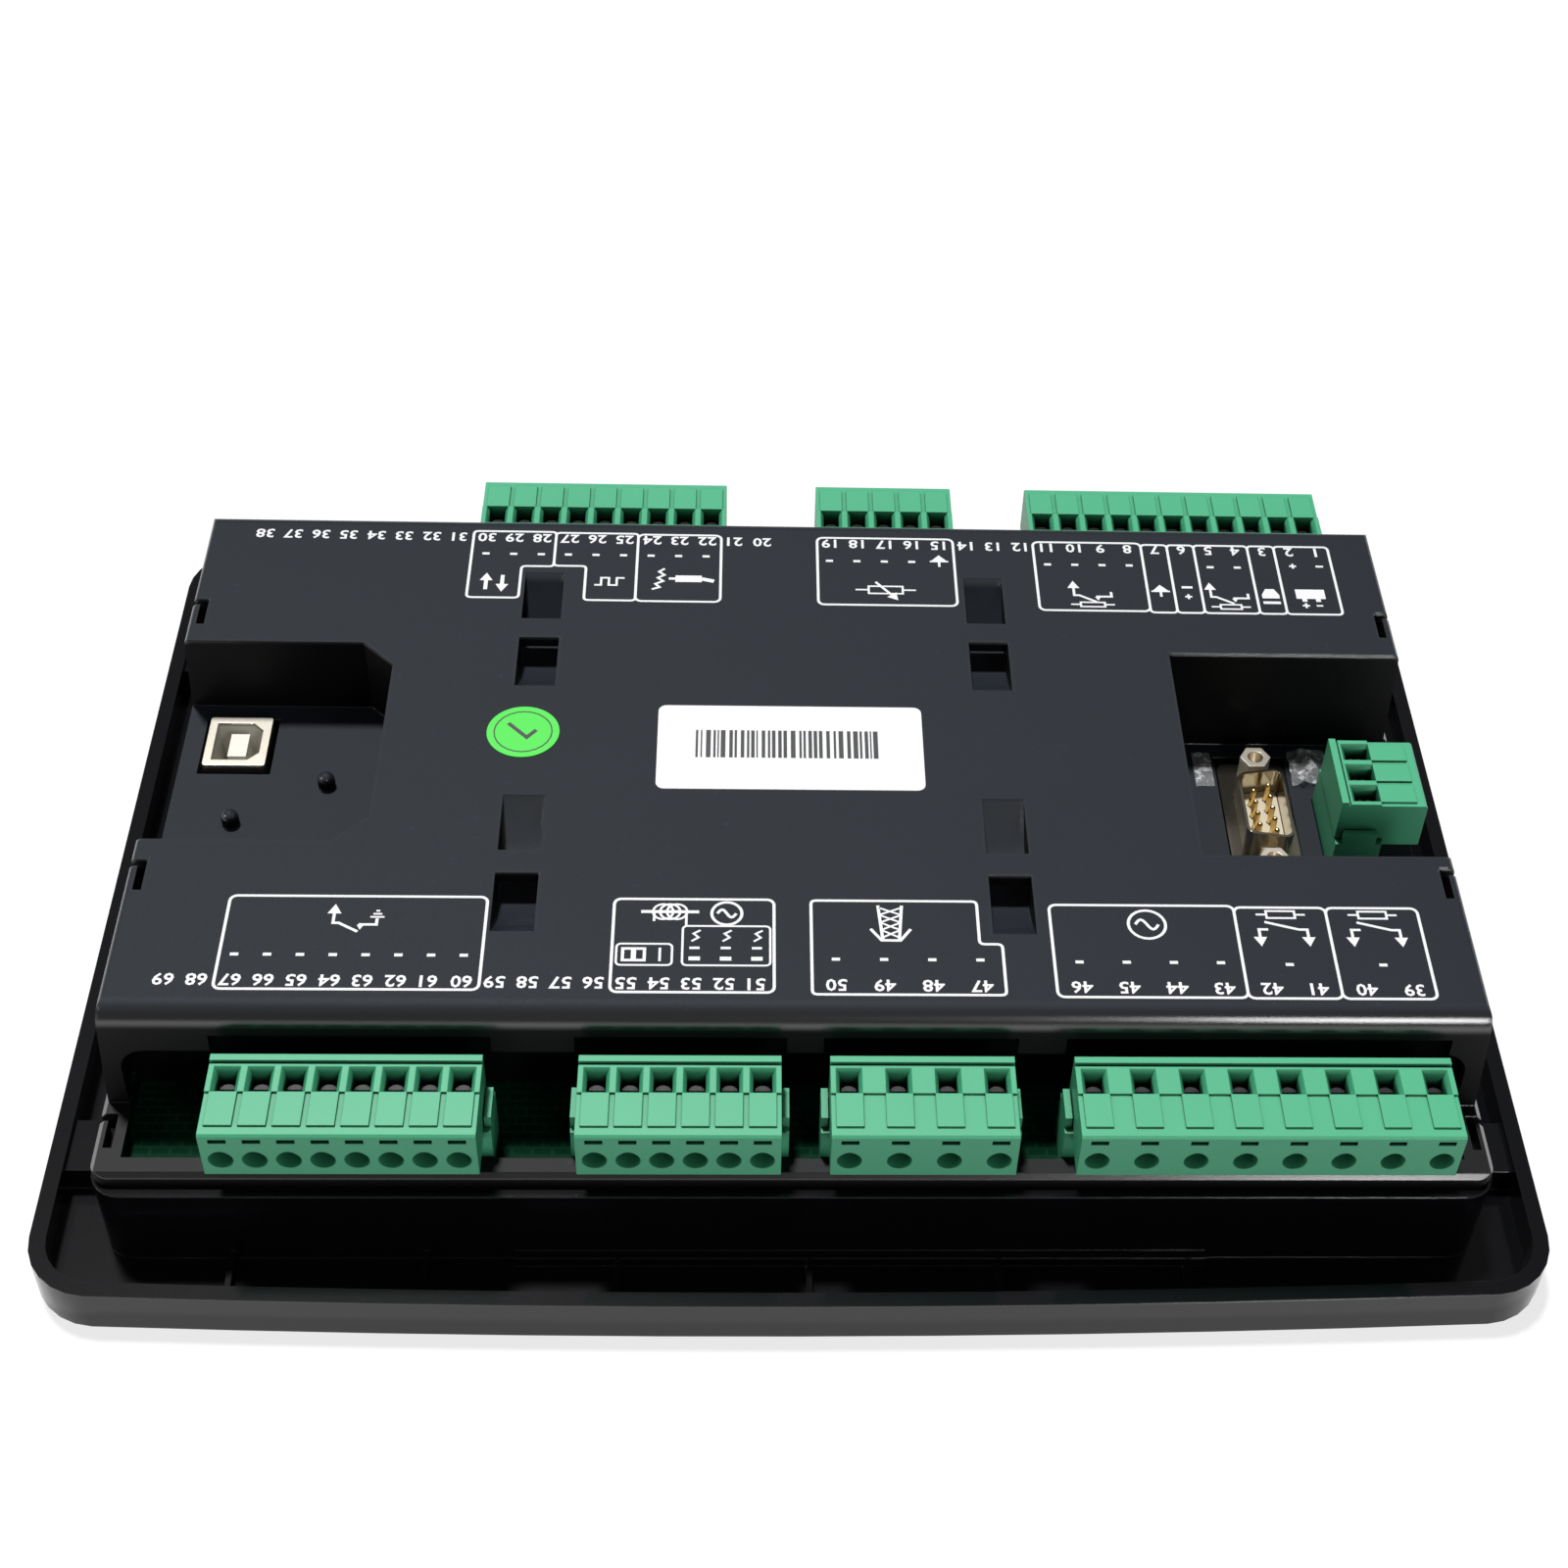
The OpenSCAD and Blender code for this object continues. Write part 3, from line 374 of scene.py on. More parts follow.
def clear(name, colour, rough, alpha, glint_alpha=0.0):
    """Thin clear plastic with faint ripples, and with paler patches scattered by noise, which are painted
    glints.
    """
    mat, tree, shader = new_material(name)
    ripple = noise(tree, 0.6)
    tree.links.new(blend(tree, ripple, shade(colour, 0.9), colour), shader.inputs["Base Color"])
    tree.links.new(spread(tree, ripple, rough, rough + 0.1), shader.inputs["Roughness"])
    if glint_alpha:
        painted_glint_noise = noise(tree, 0.5, 5, 0.7)
        tree.links.new(spread(tree, painted_glint_noise, alpha, glint_alpha, 0.52, 0.66), shader.inputs["Alpha"])
    else:
        shader.inputs["Alpha"].default_value = alpha
    bump(tree, shader, ripple, 0.3)
    return mat


def make_materials():
    """One material for each of the record's slots, and those of the pieces made here."""
    wall = (0.002, 0.0021, 0.0028)
    ink = {"grain": 1.5, "depth": 0.01, "vary": 0.05}
    paper = {"grain": 0.8, "depth": 0.01}
    made = {}

    def add(make, name, *values, **more):
        made[name] = make(name, *values, **more)

    add(case_plastic, "cover_plastic", (0.0083, 0.011, 0.0157), wall, 0.62, 0.5, 0.155)
    add(case_plastic, "case_plastic", (0.002, 0.0022, 0.003), wall, 0.14, 0.14, 0.42)
    add(plastic, "front_film", (0.02, 0.021, 0.024), 0.45, grain=4)
    add(plastic, "key_plastic", (0.05, 0.052, 0.058), 0.5, grain=3)
    # The terminal plugs get painted shade in their hollows and mouths
    add(plastic, "terminal_green", (0.048, 0.295, 0.155), 0.42, grain=1.2, depth=0.015, vary=0.05,
        specular=0.36, edge=0.2, reach=3.4)
    add(plastic, "black_parts", (0.012, 0.012, 0.014), 0.4)
    add(plastic, "white_plastic", (0.58, 0.56, 0.5), 0.4)
    add(plastic, "cream_plastic", (0.4, 0.36, 0.27), 0.4)
    add(plastic, "light_pipe", (0.75, 0.72, 0.62), 0.25)
    add(plastic, "capacitor", (0.02, 0.03, 0.08), 0.35)
    add(plastic, "label_white", (0.58, 0.585, 0.6), 0.45, vary=0.02, **paper)
    add(plastic, "sticker_green", (0.03, 0.5, 0.03), 0.5, vary=0.03, **paper)
    add(plastic, "lcd", (0.34, 0.4, 0.3), 0.25)
    add(board, "board_green")
    add(clear, "window", (0.5, 0.56, 0.54), 0.06, 0.35)
    # The clear film's paler patches are painted glints
    add(clear, "clear_film", (0.7, 0.71, 0.72), 0.07, 0.1, 0.75)
    add(metal, "nickel", (0.58, 0.53, 0.43), 0.13)
    add(metal, "bright_tin", (0.84, 0.78, 0.67), 0.29)
    add(metal, "gold", (0.85, 0.62, 0.26), 0.22)
    add(metal, "tinned", (0.66, 0.65, 0.62), 0.35)
    # Clamp steel is far darker than bare steel, as painted shade for the screws deep in the plug mouths
    add(metal, "clamp_steel", (0.06, 0.06, 0.06), 0.4, reach=4)
    add(metal, "screw_steel", (0.6, 0.6, 0.6), 0.35)
    add(plastic, "print_white", (0.56, 0.565, 0.575), 0.5, **ink)
    add(plastic, "print_red", (0.45, 0.015, 0.012), 0.5, **ink)
    add(plastic, "print_green", (0.012, 0.3, 0.04), 0.5, **ink)
    add(plastic, "print_black", (0.015, 0.015, 0.016), 0.5, grain=1.5, depth=0.01)
    return made


# Solids

def smooth(obj):
    """Shades facets of a curve as one surface and keeps sharp edges, all as modifiers."""
    if "custom_normal" in obj.data.attributes:
        obj.data.attributes.remove(obj.data.attributes["custom_normal"])
    for face in obj.data.polygons:
        face.use_smooth = True
    weld = obj.modifiers.new("weld", "WELD")
    weld.merge_threshold = WELD_MM * MM
    split = obj.modifiers.new("split", "EDGE_SPLIT")
    split.split_angle = math.radians(SHARP_DEG)
    split.use_edge_sharp = False
    obj.modifiers.new("normals", "WEIGHTED_NORMAL")


def dress_nodes(materials):
    """Gives every solid the material of its slot, or one of its own."""
    own = {
        "service_shell": "bright_tin",
        "jack_screws": "bright_tin",
        "serial_insulator": "cream_plastic",
    }
    for name, obj in NODES.items():
        obj.data.materials.clear()
        obj.data.materials.append(materials[own.get(name, SLOT_OF[name])])
        smooth(obj)


# Flat print: prisms a few hundredths of a millimetre thick

class Print:
    """Collects print on one level, which looks up or with side -1 down, and turns it into one piece."""

    def __init__(self, level_mm, side=1):
        self.mesh = bmesh.new()
        self.level = level_mm
        self.side = side
        self.low = level_mm - side * PRINT_T / 2
        self.count = 0

    @property
    def high(self):
        """Top of the stroke being drawn; strokes that cross differ, so no two tops share a level."""
        return self.level + self.side * PRINT_T * (1 + self.count % LEVELS / (2 * LEVELS))

    def prism(self, loop):
        """A filled outline."""
        self.count += 1
        top = [self.mesh.verts.new((x * MM, y * MM, self.high * MM)) for x, y in loop]
        low = [self.mesh.verts.new((x * MM, y * MM, self.low * MM)) for x, y in loop]
        self.mesh.faces.new(top)
        self.mesh.faces.new(low[::-1])
        for i in range(len(loop)):
            j = (i + 1) % len(loop)
            self.mesh.faces.new((low[i], low[j], top[j], top[i]))

    def line(self, points, width=LINE_W, closed=False):
        """A stroke with mitred corners along points."""
        self.count += 1
        points = [Vector(p) for p in points]
        count = len(points)
        sides = []
        for i, p in enumerate(points):
            before = points[i - 1] if closed or i else None
            after = points[(i + 1) % count] if closed or i < count - 1 else None
            a = (p - before).normalized() if before is not None else (after - p).normalized()
            b = (after - p).normalized() if after is not None else a
            normal = Vector((-a.y - b.y, a.x + b.x)).normalized()
            reach = width / 2 / max(normal.dot(Vector((-a.y, a.x))), MITRE)
            sides.append((p + normal * reach, p - normal * reach))
        rings = []
        for left, right in sides:
            corners = [(left, self.high), (right, self.high), (right, self.low), (left, self.low)]
            rings.append([self.mesh.verts.new((p.x * MM, p.y * MM, z * MM)) for p, z in corners])
        for i in range(count if closed else count - 1):
            a, b = rings[i], rings[(i + 1) % count]
            for k in range(4):
                self.mesh.faces.new((a[k], b[k], b[(k + 1) % 4], a[(k + 1) % 4]))
        if not closed:
            self.mesh.faces.new(rings[0])
            self.mesh.faces.new(rings[-1][::-1])

    def circle(self, mid, r, width=LINE_W):
        self.line(ring(mid, r, 24), width, closed=True)

    def dot(self, mid, r):
        self.prism(ring(mid, r, 12))

    def arrow(self, tip, way, size):
        """A solid arrow head that points along way, in degrees."""
        turn = Matrix.Rotation(math.radians(way), 2)
        half = 0.55 * size
        corners = [Vector((0, 0)), Vector((-size, half)), Vector((-size, -half))]
        self.prism([Vector(tip) + turn @ c for c in corners])

    def number(self, text, mid, height):
        """A number that reads from the far side of the deck."""
        curve = bpy.data.curves.new("number", "FONT")
        curve.body = str(text)
        curve.resolution_u = 2
        curve.extrude = 0.5
        curve.offset = NUMBER_BOLD
        holder = bpy.data.objects.new("number", curve)
        mesh = bpy.data.meshes.new_from_object(holder)
        xs = [v.co.x for v in mesh.vertices]
        ys = [v.co.y for v in mesh.vertices]
        scale = height / (max(ys) - min(ys)) * MM
        thick = (self.high - self.low) * MM
        centre = Vector(((max(xs) + min(xs)) / 2, (max(ys) + min(ys)) / 2, 0))
        shift = Matrix.Translation((mid[0] * MM, mid[1] * MM, (self.high + self.low) / 2 * MM))
        turn = Matrix.Rotation(math.pi, 4, "Z") @ Matrix.Diagonal((scale * NUMBER_WIDE, scale, thick, 1))
        mesh.transform(shift @ turn @ Matrix.Translation(-centre))
        self.mesh.from_mesh(mesh)
        bpy.data.objects.remove(holder)
        bpy.data.curves.remove(curve)
        bpy.data.meshes.remove(mesh)

    def piece(self, name, material, body=BODY):
        """Ends the print as one piece that rides on body."""
        bmesh.ops.remove_doubles(self.mesh, verts=self.mesh.verts, dist=WELD_MM * MM)
        bmesh.ops.recalc_face_normals(self.mesh, faces=self.mesh.faces)
        mesh = bpy.data.meshes.new(name)
        self.mesh.to_mesh(mesh)
        self.mesh.free()
        obj = bpy.data.objects.new(name, mesh)
        bpy.context.scene.collection.objects.link(obj)
        mesh.materials.append(material)
        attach(obj, body)


def arc(mid, r, start, end, steps):
    """Points on an arc from start to end, in degrees."""
    turns = [math.radians(start + (end - start) * i / steps) for i in range(steps + 1)]
    return [(mid[0] + r * math.cos(t), mid[1] + r * math.sin(t)) for t in turns]


def ring(mid, r, count):
    """Points on a full circle."""
    return arc(mid, r, 0, 360 - 360 / count, count - 1)


def rounded(x0, y0, x1, y1, r=FRAME_R, steps=4):
    """Outline of a rectangle with round corners."""
    return (arc((x1 - r, y1 - r), r, 0, 90, steps) + arc((x0 + r, y1 - r), r, 90, 180, steps)
            + arc((x0 + r, y0 + r), r, 180, 270, steps) + arc((x1 - r, y0 + r), r, 270, 360, steps))


def round_corners(points, r=CORNER_R, steps=3):
    """A closed outline with each corner cut by a short arc-like run of points."""
    out = []
    for i, p in enumerate(points):
        p = Vector(p)
        a = Vector(points[i - 1])
        b = Vector(points[(i + 1) % len(points)])
        start = p + (a - p).normalized() * min(r, (a - p).length / 2)
        end = p + (b - p).normalized() * min(r, (b - p).length / 2)
        for k in range(steps + 1):
            t = k / steps
            out.append(tuple((1 - t) ** 2 * start + 2 * t * (1 - t) * p + t * t * end))
    return out


# Terminal numbers: first and last number, place of the first, and pitch

NEAR_NUMBERS = [(69, 51, -98.26, 5.055), (50, 47, 5.17, 7.58), (46, 39, 43.56, 7.485)]
FAR_NUMBERS = [(38, 20, -97.5, 5.057), (19, 1, 5.9, 5.047)]


def number_rows(deck):
    """The terminal numbers along both edges of the deck."""
    for rows, (level, lean) in ((NEAR_NUMBERS, NEAR_ROW), (FAR_NUMBERS, FAR_ROW)):
        for first, last, start, pitch in rows:
            for step in range(first - last + 1):
                x = start + step * pitch
                deck.number(first - step, (x, level + lean * x), NUMBER_H)


# Symbols of the terminal groups

def supply_sign(deck, mid, r):
    """Circle with a wave: alternating supply."""
    deck.circle(mid, r)
    steps = 12
    half, tall = r * 0.62, r * 0.34
    deck.line([(mid[0] + half * (2 * i / steps - 1), mid[1] + tall * math.sin(2 * math.pi * i / steps))
               for i in range(steps + 1)])


def contact_sign(deck, x, y):
    """Switch contact: an arrow out, a leaning blade and a fixed contact."""
    deck.arrow((x, y + 4), 90, 2)
    deck.line([(x, y + 2.2), (x, y), (x + 0.9, y), (x + 4, y - 1.8)])
    deck.arrow((x + 4.3, y - 1.4), 270, 1)
    deck.line([(x + 4, y - 0.3), (x + 6.8, y - 0.3), (x + 6.8, y + 1)])


def earth_sign(deck, x, y):
    for i, half in enumerate((1.1, 0.7, 0.3)):
        deck.line([(x - half, y + i * 0.65), (x + half, y + i * 0.65)], 0.34)


def resistor_sign(deck, mid, half=4, box=2.3, tall=0.75, width=0.38):
    x, y = mid
    corners = [(x - box, y - tall), (x + box, y - tall), (x + box, y + tall), (x - box, y + tall)]
    deck.line(corners, width, closed=True)
    for s in (-1, 1):
        deck.line([(x + s * box, y), (x + s * half, y)], width)


def relay_sign(deck, mid):
    """Coil above two arrows that a contact joins."""
    x, y = mid
    resistor_sign(deck, (x, y))
    for s in (-1, 1):
        deck.arrow((x + s * 3.9, y - 6.8), 270, 2)
    deck.line([(x - 3.9, y - 5), (x - 3.9, y - 3.2), (x - 2.4, y - 3.2)])
    deck.line([(x + 3.9, y - 5), (x + 3.9, y - 3.2), (x + 2.6, y - 3.2), (x - 2.8, y - 1.6)])


def coil_sign(deck, mid):
    x, y = mid
    deck.line([(x - 4.6, y), (x + 4.6, y)], 0.6)
    for dx in (-1.1, 0, 1.1):
        deck.circle((x + dx, y), 1.6, 0.38)
    deck.line([(x - 2.5, y), (x - 2.5, y - 2)], 0.4)
    deck.line([(x + 2.6, y), (x + 2.6, y - 3)], 0.4)


def mast_sign(deck, mid):
    """Mains mast: two legs with cross bars and an arm at the top."""
    x, y = mid
    for s in (-1, 1):
        deck.line([(x + s * 1.9, y + 3.8), (x + s * 1.3, y - 3.6)], 0.5)
        deck.line([(x + s * 3.2, y - 1.2), (x + s * 1.5, y - 3.6), (x, y - 3.6)], 0.5)
    for i in range(4):
        low, half = y - 3 + i * 1.6, 1.35 + 0.13 * i
        deck.line([(x - half, low), (x + half, low + 1.5)], 0.34)
        deck.line([(x + half, low), (x - half, low + 1.5)], 0.34)


def battery_sign(deck, mid):
    x, y = mid
    deck.prism([(x - 2.7, y - 0.4), (x - 1.7, y - 0.4), (x - 1.7, y - 1.2), (x - 0.8, y - 1.2),
                (x - 0.8, y - 0.4), (x + 0.8, y - 0.4), (x + 0.8, y - 1.2), (x + 1.7, y - 1.2),
                (x + 1.7, y - 0.4), (x + 2.7, y - 0.4), (x + 2.7, y + 2.2), (x - 2.7, y + 2.2)])
    plus_sign(deck, (x - 1.2, y - 2.3))
    deck.line([(x + 0.7, y - 2.3), (x + 1.9, y - 2.3)], 0.4)


def plus_sign(deck, mid, half=0.65):
    x, y = mid
    deck.line([(x - half, y), (x + half, y)], 0.42)
    deck.line([(x, y - half), (x, y + half)], 0.42)


def marks(deck, first, pitch, count, y):
    """Small plain marks above the terminals of a group."""
    for i in range(count):
        x = first + i * pitch
        deck.line([(x - 0.65, y), (x + 0.65, y)], 0.6)


def near_groups(deck):
    """Frames, symbols and marks of the terminal groups along the near edge."""
    deck.line(rounded(-90.5, -55.2, -50, -35.9), closed=True)
    contact_sign(deck, -73.8, -41.6)
    earth_sign(deck, -67, -40.3)
    marks(deck, -88.2, 5.055, 8, -48.2)
    deck.line(rounded(-29.9, -55.5, -4.5, -36.1), closed=True)
    coil_sign(deck, (-21, -38.8))
    supply_sign(deck, (-12, -39.1), 2.4)
    deck.line(rounded(-18.9, -50, -5.1, -41.8, 0.7), 0.36, closed=True)
    deck.line(rounded(-29.2, -50, -20.5, -45.6, 0.7), 0.36, closed=True)
    for x in (-17, -12.1, -7.2):
        deck.line([(x + 0.9, -42.7), (x - 0.2, -43.4), (x + 0.6, -44.2), (x - 0.5, -45)], 0.36)
        deck.line([(x - 0.8, -46.4), (x + 0.8, -46.4)], 0.5)
        deck.line([(x - 0.9, -48.6), (x + 0.9, -48.6)], 0.8)
    deck.line([(-28.2, -46.6), (-28.2, -49), (-24.8, -49), (-24.8, -46.6)], 0.5, closed=True)
    deck.line([(-26.5, -46.6), (-26.5, -49)], 0.8)
    deck.line([(-22.4, -46.4), (-22.4, -49.2)], 0.4)
    notch = [(1.4, -55.8), (31.6, -55.8), (31.6, -45.3), (28, -45.3), (28, -36.2), (1.4, -36.2)]
    deck.line(round_corners(notch), closed=True)
    mast_sign(deck, (14, -41))
    marks(deck, 5.17, 7.58, 4, -48.6)
    deck.line(rounded(39.6, -56.1, 69.5, -36.8), closed=True)
    supply_sign(deck, (55.1, -40.9), 3)
    marks(deck, 43.56, 7.485, 4, -48.9)
    for x0, x1 in ((69.5, 84.4), (84.4, 99.4)):
        deck.line(rounded(x0, -56.2, x1, -37.1), closed=True)
        relay_sign(deck, ((x0 + x1) / 2, -38.6))
        marks(deck, (x0 + x1) / 2, 0, 1, -49.2)


def far_groups(deck):
    """Frames, symbols and marks of the terminal groups along the far edge."""
    left = [(-59.5, 55.4), (-44.4, 55.4), (-44.4, 45.6), (-50.2, 45.6), (-50.2, 36.8), (-59.5, 36.8)]
    deck.line(round_corners(left), closed=True)
    for x, way in ((-56.3, 90), (-53.4, 270)):
        s = 1 if way == 90 else -1
        deck.line([(x, 41 - 2 * s), (x, 41 + 0.6 * s)], 0.7)
        deck.arrow((x, 41 + 2.6 * s), way, 2.1)
    marks(deck, -56.9, 5.03, 3, 49)
    middle = [(-44.4, 55.2), (-29.3, 55.2), (-29.3, 36.4), (-38.5, 36.4), (-38.5, 45.8), (-44.4, 45.8)]
    deck.line(round_corners(middle), closed=True)
    deck.line([(-36.8, 40.6), (-35.6, 40.6), (-35.6, 42.6), (-34.2, 42.6), (-34.2, 40.6), (-32.8, 40.6),
               (-32.8, 42.6), (-31.4, 42.6)], 0.42)
    marks(deck, -41.9, 5.03, 3, 49)
    deck.line(rounded(-29.3, 36.3, -14, 55), closed=True)
    probe_sign(deck, (-20.4, 42.6))
    marks(deck, -26.8, 5.03, 3, 49)
    deck.line(rounded(3.7, 36, 28.9, 54.8), closed=True)
    resistor_sign(deck, (16, 40.2), 5.5, 3.1, 1)
    deck.line([(14.2, 42.4), (17.4, 38.4)])
    deck.arrow((18.2, 37.4), 308, 1.9)
    earth_arrow(deck, (26.1, 48.6))
    marks(deck, 5.9, 5.047, 4, 48.2)
    deck.line(rounded(43.8, 35.2, 64, 54.4), closed=True)
    contact_sign(deck, 50.4, 39.4)
    resistor_sign(deck, (53.6, 36.9), 4, 2.2, 0.6)
    marks(deck, 46.17, 5.058, 4, 48)
    for x0, x1 in ((64, 68.9), (68.9, 73.9), (73.9, 84), (84, 89), (89, 99.2)):
        deck.line(rounded(x0, 34.9, x1, 54, 0.8), closed=True)
    earth_arrow(deck, (66.4, 41))
    plus_sign(deck, (71.4, 39.4))
    deck.line([(70.4, 42), (72.4, 42)], 0.6)
    contact_sign(deck, 75.6, 39.4)
    resistor_sign(deck, (78.9, 36.7), 3.6, 1.9, 0.6)
    marks(deck, 76.4, 5.058, 2, 47.8)
    deck.prism([(85, 39.2), (88.2, 39.2), (88.2, 40.2), (87.4, 41.8), (85.8, 41.8), (85, 40.2)])
    deck.line([(85, 38), (88.2, 38)], 0.7)
    battery_sign(deck, (94, 39.6))
    plus_sign(deck, (91.9, 48.4))
    deck.line([(96.2, 48.4), (97.6, 48.4)], 0.5)


def probe_sign(deck, mid):
    """Speed probe beside a toothed edge."""
    x, y = mid
    deck.prism([(x - 1.8, y - 0.9), (x + 3, y - 0.9), (x + 3, y + 0.9), (x - 1.8, y + 0.9)])
    deck.line([(x + 3, y), (x + 5.2, y - 0.6)], 0.9)
    deck.line([(x - 1.8, y), (x - 3, y)], 0.6)
    teeth = [(-3.2, 2.8), (-4.2, 1.9), (-3.2, 1), (-4.4, 0.2),
             (-3.4, -0.7), (-4.8, -1.5), (-4, -2.4), (-5.4, -3)]
    deck.line([(x + dx - 0.6, y + dy) for dx, dy in teeth], 0.45)


def earth_arrow(deck, mid):
    x, y = mid
    deck.line([(x, y - 1.7), (x, y + 0.4)], 0.45)
    deck.prism([(x - 1.4, y), (x + 1.4, y), (x, y + 1.6)])
    deck.line([(x - 1.7, y - 0.2), (x + 1.7, y - 0.2)], 0.4)


# Label and sticker

def label_print(materials):
    """Plain bars on the white label and a tick on the round sticker."""
    low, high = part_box("rear_label")
    level = high.z / MM
    x0, x1 = low.x / MM, high.x / MM
    mid_y = (low.y + high.y) / 2 / MM
    bar_low, bar_high = mid_y - 2.6, mid_y + 4
    bar_widths, bar_gaps = (0.25, 0.4, 0.6, 0.8), (0.3, 0.45, 0.65)
    bars = Print(level)
    draw = random.Random(4)
    x, bars_end = x0 + 6.5, x1 - 8
    while x < bars_end:
        wide = draw.choice(bar_widths)
        bars.prism([(x, bar_low), (x + wide, bar_low), (x + wide, bar_high), (x, bar_high)])
        x += wide + draw.choice(bar_gaps)
    bars.piece("label_bars", materials["print_black"])
    low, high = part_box("check_sticker")
    x, y = (low.x + high.x) / 2 / MM, (low.y + high.y) / 2 / MM
    tick = Print(high.z / MM)
    tick.line([(x + 2.2, y + 0.4), (x + 0.7, y - 1.4), (x - 2.6, y + 2)], 0.7)
    tick.circle((x, y), 4.9, 0.22)
    tick.piece("sticker_tick", materials["print_black"])


# Front: signs on the keys, in millimetres from the middle of a key, and lines on the film

def key_sign(face, name, x, y):
    """Draws the sign of the key called name."""
    ways = {"key_up": 270, "key_down": 90, "key_left": 180, "key_right": 0}
    if name in ways:
        turn = math.radians(ways[name])
        face.arrow((x + 2.4 * math.cos(turn), y + 2.4 * math.sin(turn)), ways[name], 4.4)
    elif name == "key_enter":
        face.line([(x - 2.8, y), (x - 0.8, y + 2.2), (x + 3, y - 2.4)], 1)
    elif name == "key_stop":
        face.circle((x, y), 3.2, 1)
    elif name == "key_start":
        face.line([(x, y - 3.4), (x, y + 3.4)], 1.2)
    elif name == "key_manual":
        face.dot((x, y - 2.2), 1.5)
        face.line([(x - 3, y + 3.2), (x - 3, y + 1.6), (x + 3, y + 1.6), (x + 3, y + 3.2)], 0.8)
    elif name == "key_auto":
        face.line(arc((x, y), 2.9, 40, 320, 20), 0.8)
        face.arrow((x + 2.4, y + 0.4), 80, 2.2)
    elif name == "key_mute":
        face.prism([(x - 3, y - 1), (x - 1.4, y - 1), (x + 0.6, y - 2.8),
                    (x + 0.6, y + 2.8), (x - 1.4, y + 1), (x - 3, y + 1)])
        face.line([(x + 1.6, y - 1.6), (x + 3.6, y + 1.6)], 0.6)
        face.line([(x + 1.6, y + 1.6), (x + 3.6, y - 1.6)], 0.6)


def front_print(materials):
    """Plain signs on the keys, and lines round the window and the key rows."""
    inks = {"key_stop": "print_red", "key_start": "print_green"}
    for name in NODES:
        if name.startswith("key_") and name != "key_switches":
            low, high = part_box(name)
            face = Print(low.z / MM, -1)
            key_sign(face, name, (low.x + high.x) / 2 / MM, (low.y + high.y) / 2 / MM)
            face.piece("sign_" + name, materials[inks.get(name, "print_white")], name)
    low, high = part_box("display_window")
    film = Print(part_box("front_film")[0].z / MM, -1)
    gap, width = 2.2, 0.5
    corners = [v / MM - gap for v in low.xy] + [v / MM + gap for v in high.xy]
    film.line(rounded(*corners, 2), width, closed=True)
    for names in (("key_left", "key_right", "key_up", "key_down"), ("key_stop", "key_start")):
        boxes = [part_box(n) for n in names]
        x0, y0 = (min(b[0][k] for b in boxes) / MM - gap for k in range(2))
        x1, y1 = (max(b[1][k] for b in boxes) / MM + gap for k in range(2))
        film.line(rounded(x0, y0, x1, y1, 3), width, closed=True)
    film.piece("film_print", materials["print_white"])


# Clear film

def film_scrap(materials):
    """A crinkled scrap of clear film in place of the flat one, and a smooth end of it beyond the port."""
    low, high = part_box("clear_film")
    obj = film_sheet("film_scrap", low, high, materials, steps=7, crinkle=1)
    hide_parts("clear_film")
    start, end = metres(FILM_END)
    end_low, end_high = Vector((start, low.y, low.z)), Vector((end, high.y, high.z))
    film_sheet("film_end", end_low, end_high, materials, steps=5, crinkle=0.12)


def film_sheet(name, low, high, materials, steps, crinkle):
    """A thin sheet over the ground from low to high, with folds as strong as crinkle."""
    mesh = bmesh.new()
    draw = random.Random(7)
    grid = []
    for i in range(steps + 1):
        row = []
        for j in range(steps + 1):
            u, v = i / steps, j / steps
            x = low.x + (high.x - low.x) * u
            y = low.y + (high.y - low.y) * v
            fold = abs(math.sin(5 * u + 3 * v)) * math.sin(math.pi * (0.1 + 0.8 * u))
            rise = FILM_FOLD * fold + FILM_CREASE * draw.random()
            z = low.z + (FILM_LIFT + crinkle * rise) * MM
            row.append(mesh.verts.new((x, y, z)))
        grid.append(row)
    for i in range(steps):
        for j in range(steps):
            a, b, c, d = grid[i][j], grid[i + 1][j], grid[i + 1][j + 1], grid[i][j + 1]
            for corners in ((a, b, c), (a, c, d)) if draw.random() < 0.5 else ((a, b, d), (b, c, d)):
                mesh.faces.new(corners)
    data = bpy.data.meshes.new(name)
    mesh.to_mesh(data)
    mesh.free()
    obj = bpy.data.objects.new(name, data)
    bpy.context.scene.collection.objects.link(obj)
    data.materials.append(materials["clear_film"])
    thick = obj.modifiers.new("thick", "SOLIDIFY")
    thick.thickness = FILM_T * MM
    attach(obj, BODY)
    return obj


# Room

def place_light(name, light, way):
    """Puts a light into the scene that shines against way, and returns its object."""
    obj = bpy.data.objects.new(name, light)
    obj.rotation_euler = way.to_track_quat("Z", "Y").to_euler()
    bpy.context.scene.collection.objects.link(obj)
    return obj


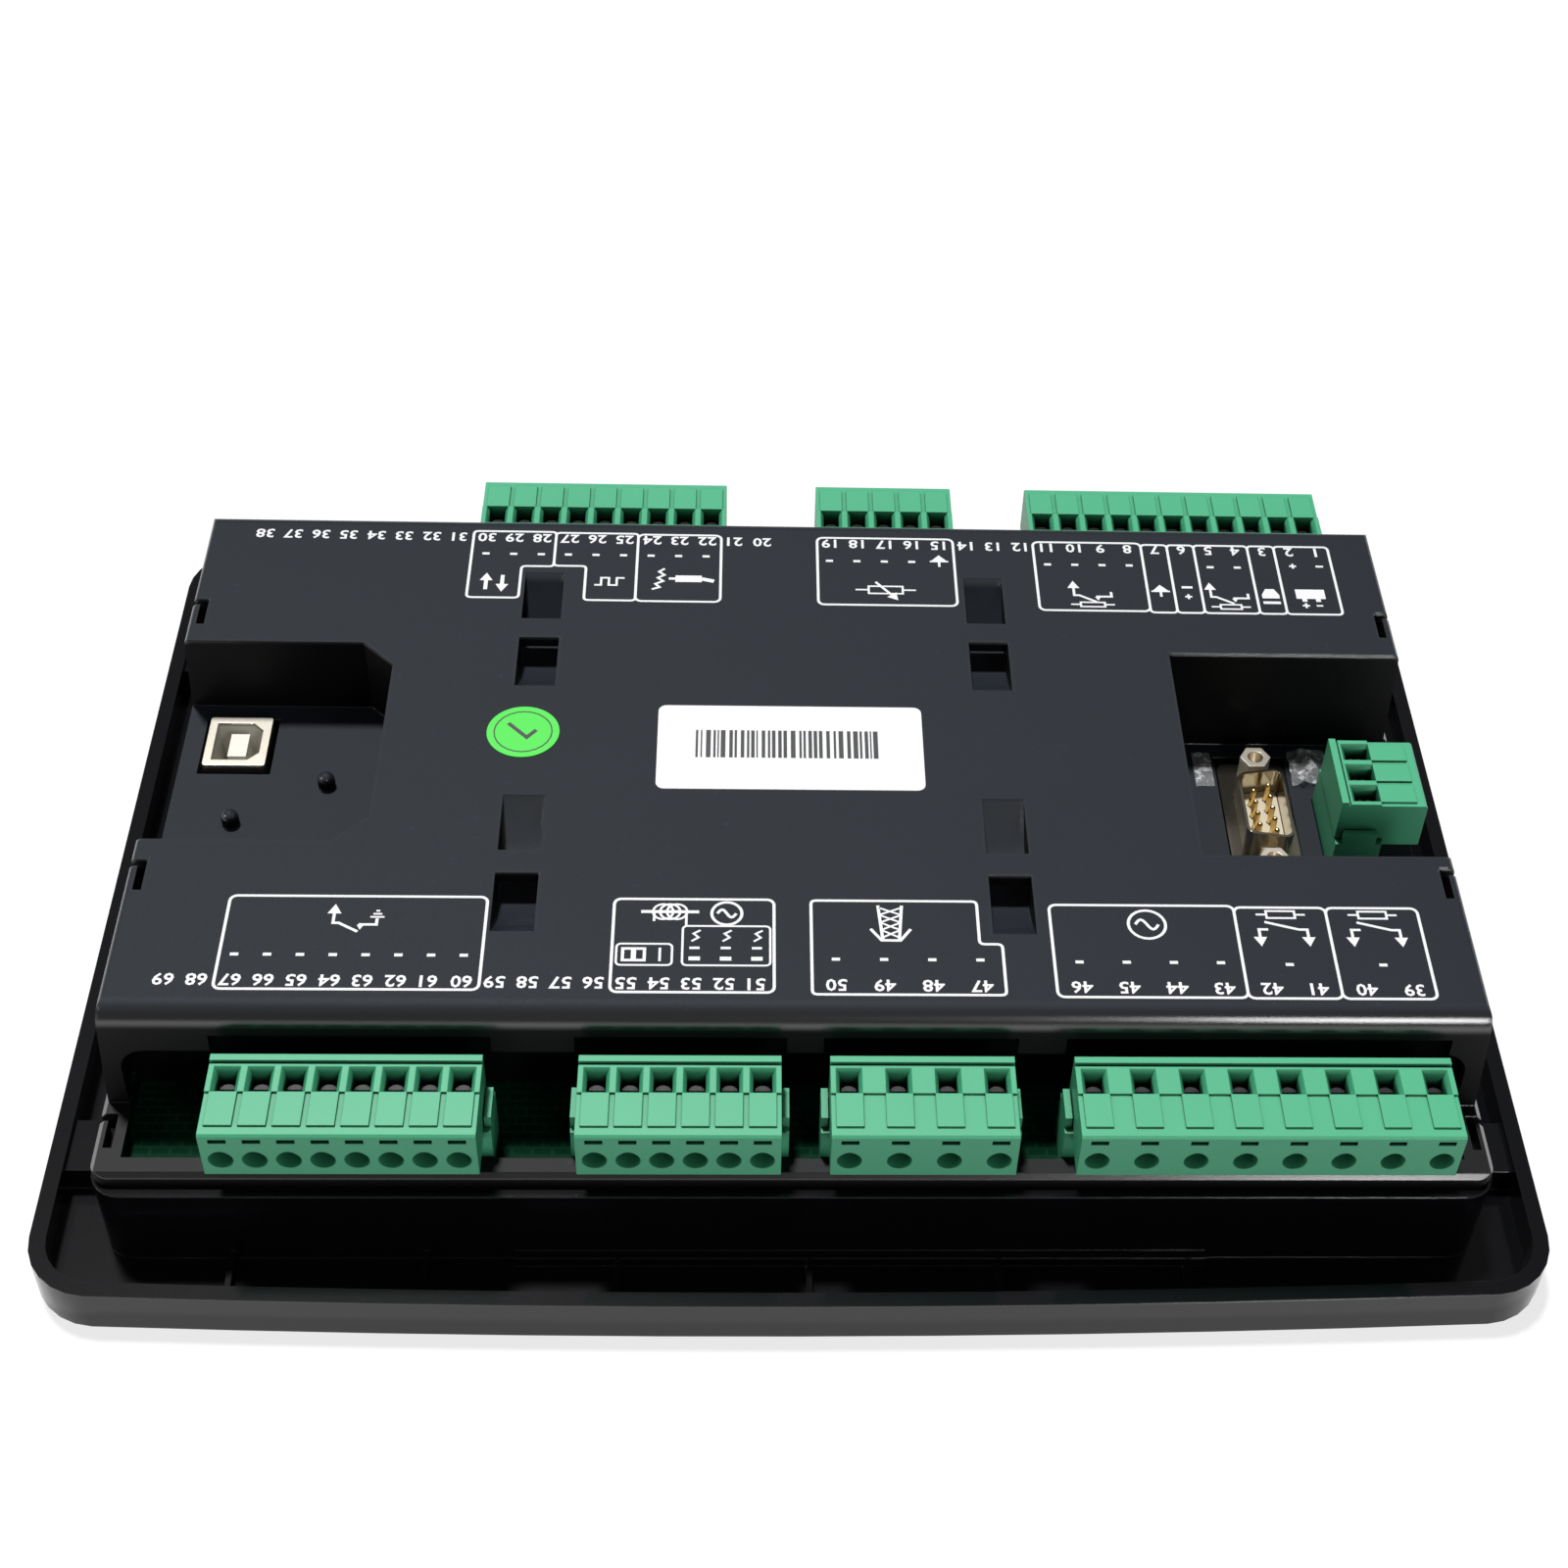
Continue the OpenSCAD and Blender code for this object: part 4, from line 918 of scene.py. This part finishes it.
def make_room():
    """A pale floor, a white room, one main light and two area lights."""
    scene = bpy.context.scene
    far = FLOOR_HALF
    corners = [(-far, -far, 0), (far, -far, 0), (far, far, 0), (-far, far, 0)]
    floor_mesh = bpy.data.meshes.new("floor")
    floor_mesh.from_pydata(corners, [], [(0, 1, 2, 3)])
    floor = bpy.data.objects.new("floor", floor_mesh)
    floor.location.z = -FLOOR_DROP_MM * MM
    scene.collection.objects.link(floor)
    paper = plastic("floor", (FLOOR_TONE,) * 3, 0.6, grain=0.2, vary=0.005, specular=0.2)
    glow = paper.node_tree.nodes["Principled BSDF"]
    glow.inputs["Emission Color"].default_value = (1, 1, 1, 1)
    glow.inputs["Emission Strength"].default_value = FLOOR_GLOW
    floor_mesh.materials.append(paper)
    world = bpy.data.worlds.new("studio")
    world.use_nodes = True
    tree = world.node_tree
    room = tree.nodes["Background"]
    room.inputs["Color"].default_value = (1, 1, 1, 1)
    seen = tree.nodes.new("ShaderNodeLightPath").outputs["Is Camera Ray"]
    tree.links.new(spread(tree, seen, ROOM_LIGHT, ROOM_SEEN), room.inputs["Strength"])
    scene.world = world
    scene.view_settings.view_transform = "Standard"
    main = bpy.data.lights.new("main_light", "SUN")
    main.energy = MAIN_POWER
    main.angle = math.radians(MAIN_WIDTH)
    place_light("main_light", main, Vector(MAIN_FROM))
    for name, (at, aim, size, power) in AREA_LIGHTS.items():
        light = bpy.data.lights.new(name, "AREA")
        light.shape = "RECTANGLE"
        light.size, light.size_y = size
        light.energy = power
        place_light(name, light, Vector(at) - Vector(aim)).location = at


def make_camera():
    """The camera that the fit to the photograph gives."""
    data = bpy.data.cameras.new("camera")
    data.sensor_width = SENSOR_MM
    data.lens = FOCAL_PX * SENSOR_MM / IMAGE_PX
    data.shift_x = 0.5 - MIDDLE_PX[0] / IMAGE_PX
    data.shift_y = MIDDLE_PX[1] / IMAGE_PX - 0.5
    data.clip_start = CAMERA_CLIP
    camera = bpy.data.objects.new("camera", data)
    camera.location = Vector(CAMERA_AT) * MM
    camera.rotation_euler = Euler([math.radians(a) for a in CAMERA_TURN], "XYZ")
    bpy.context.scene.collection.objects.link(camera)
    bpy.context.scene.camera = camera


make_camera()
make_room()
looks = make_materials()
dress_nodes(looks)
deck_print = Print(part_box("rear_cover")[1].z / MM)
number_rows(deck_print)
near_groups(deck_print)
far_groups(deck_print)
deck_print.piece("deck_print", looks["print_white"])
label_print(looks)
front_print(looks)
film_scrap(looks)
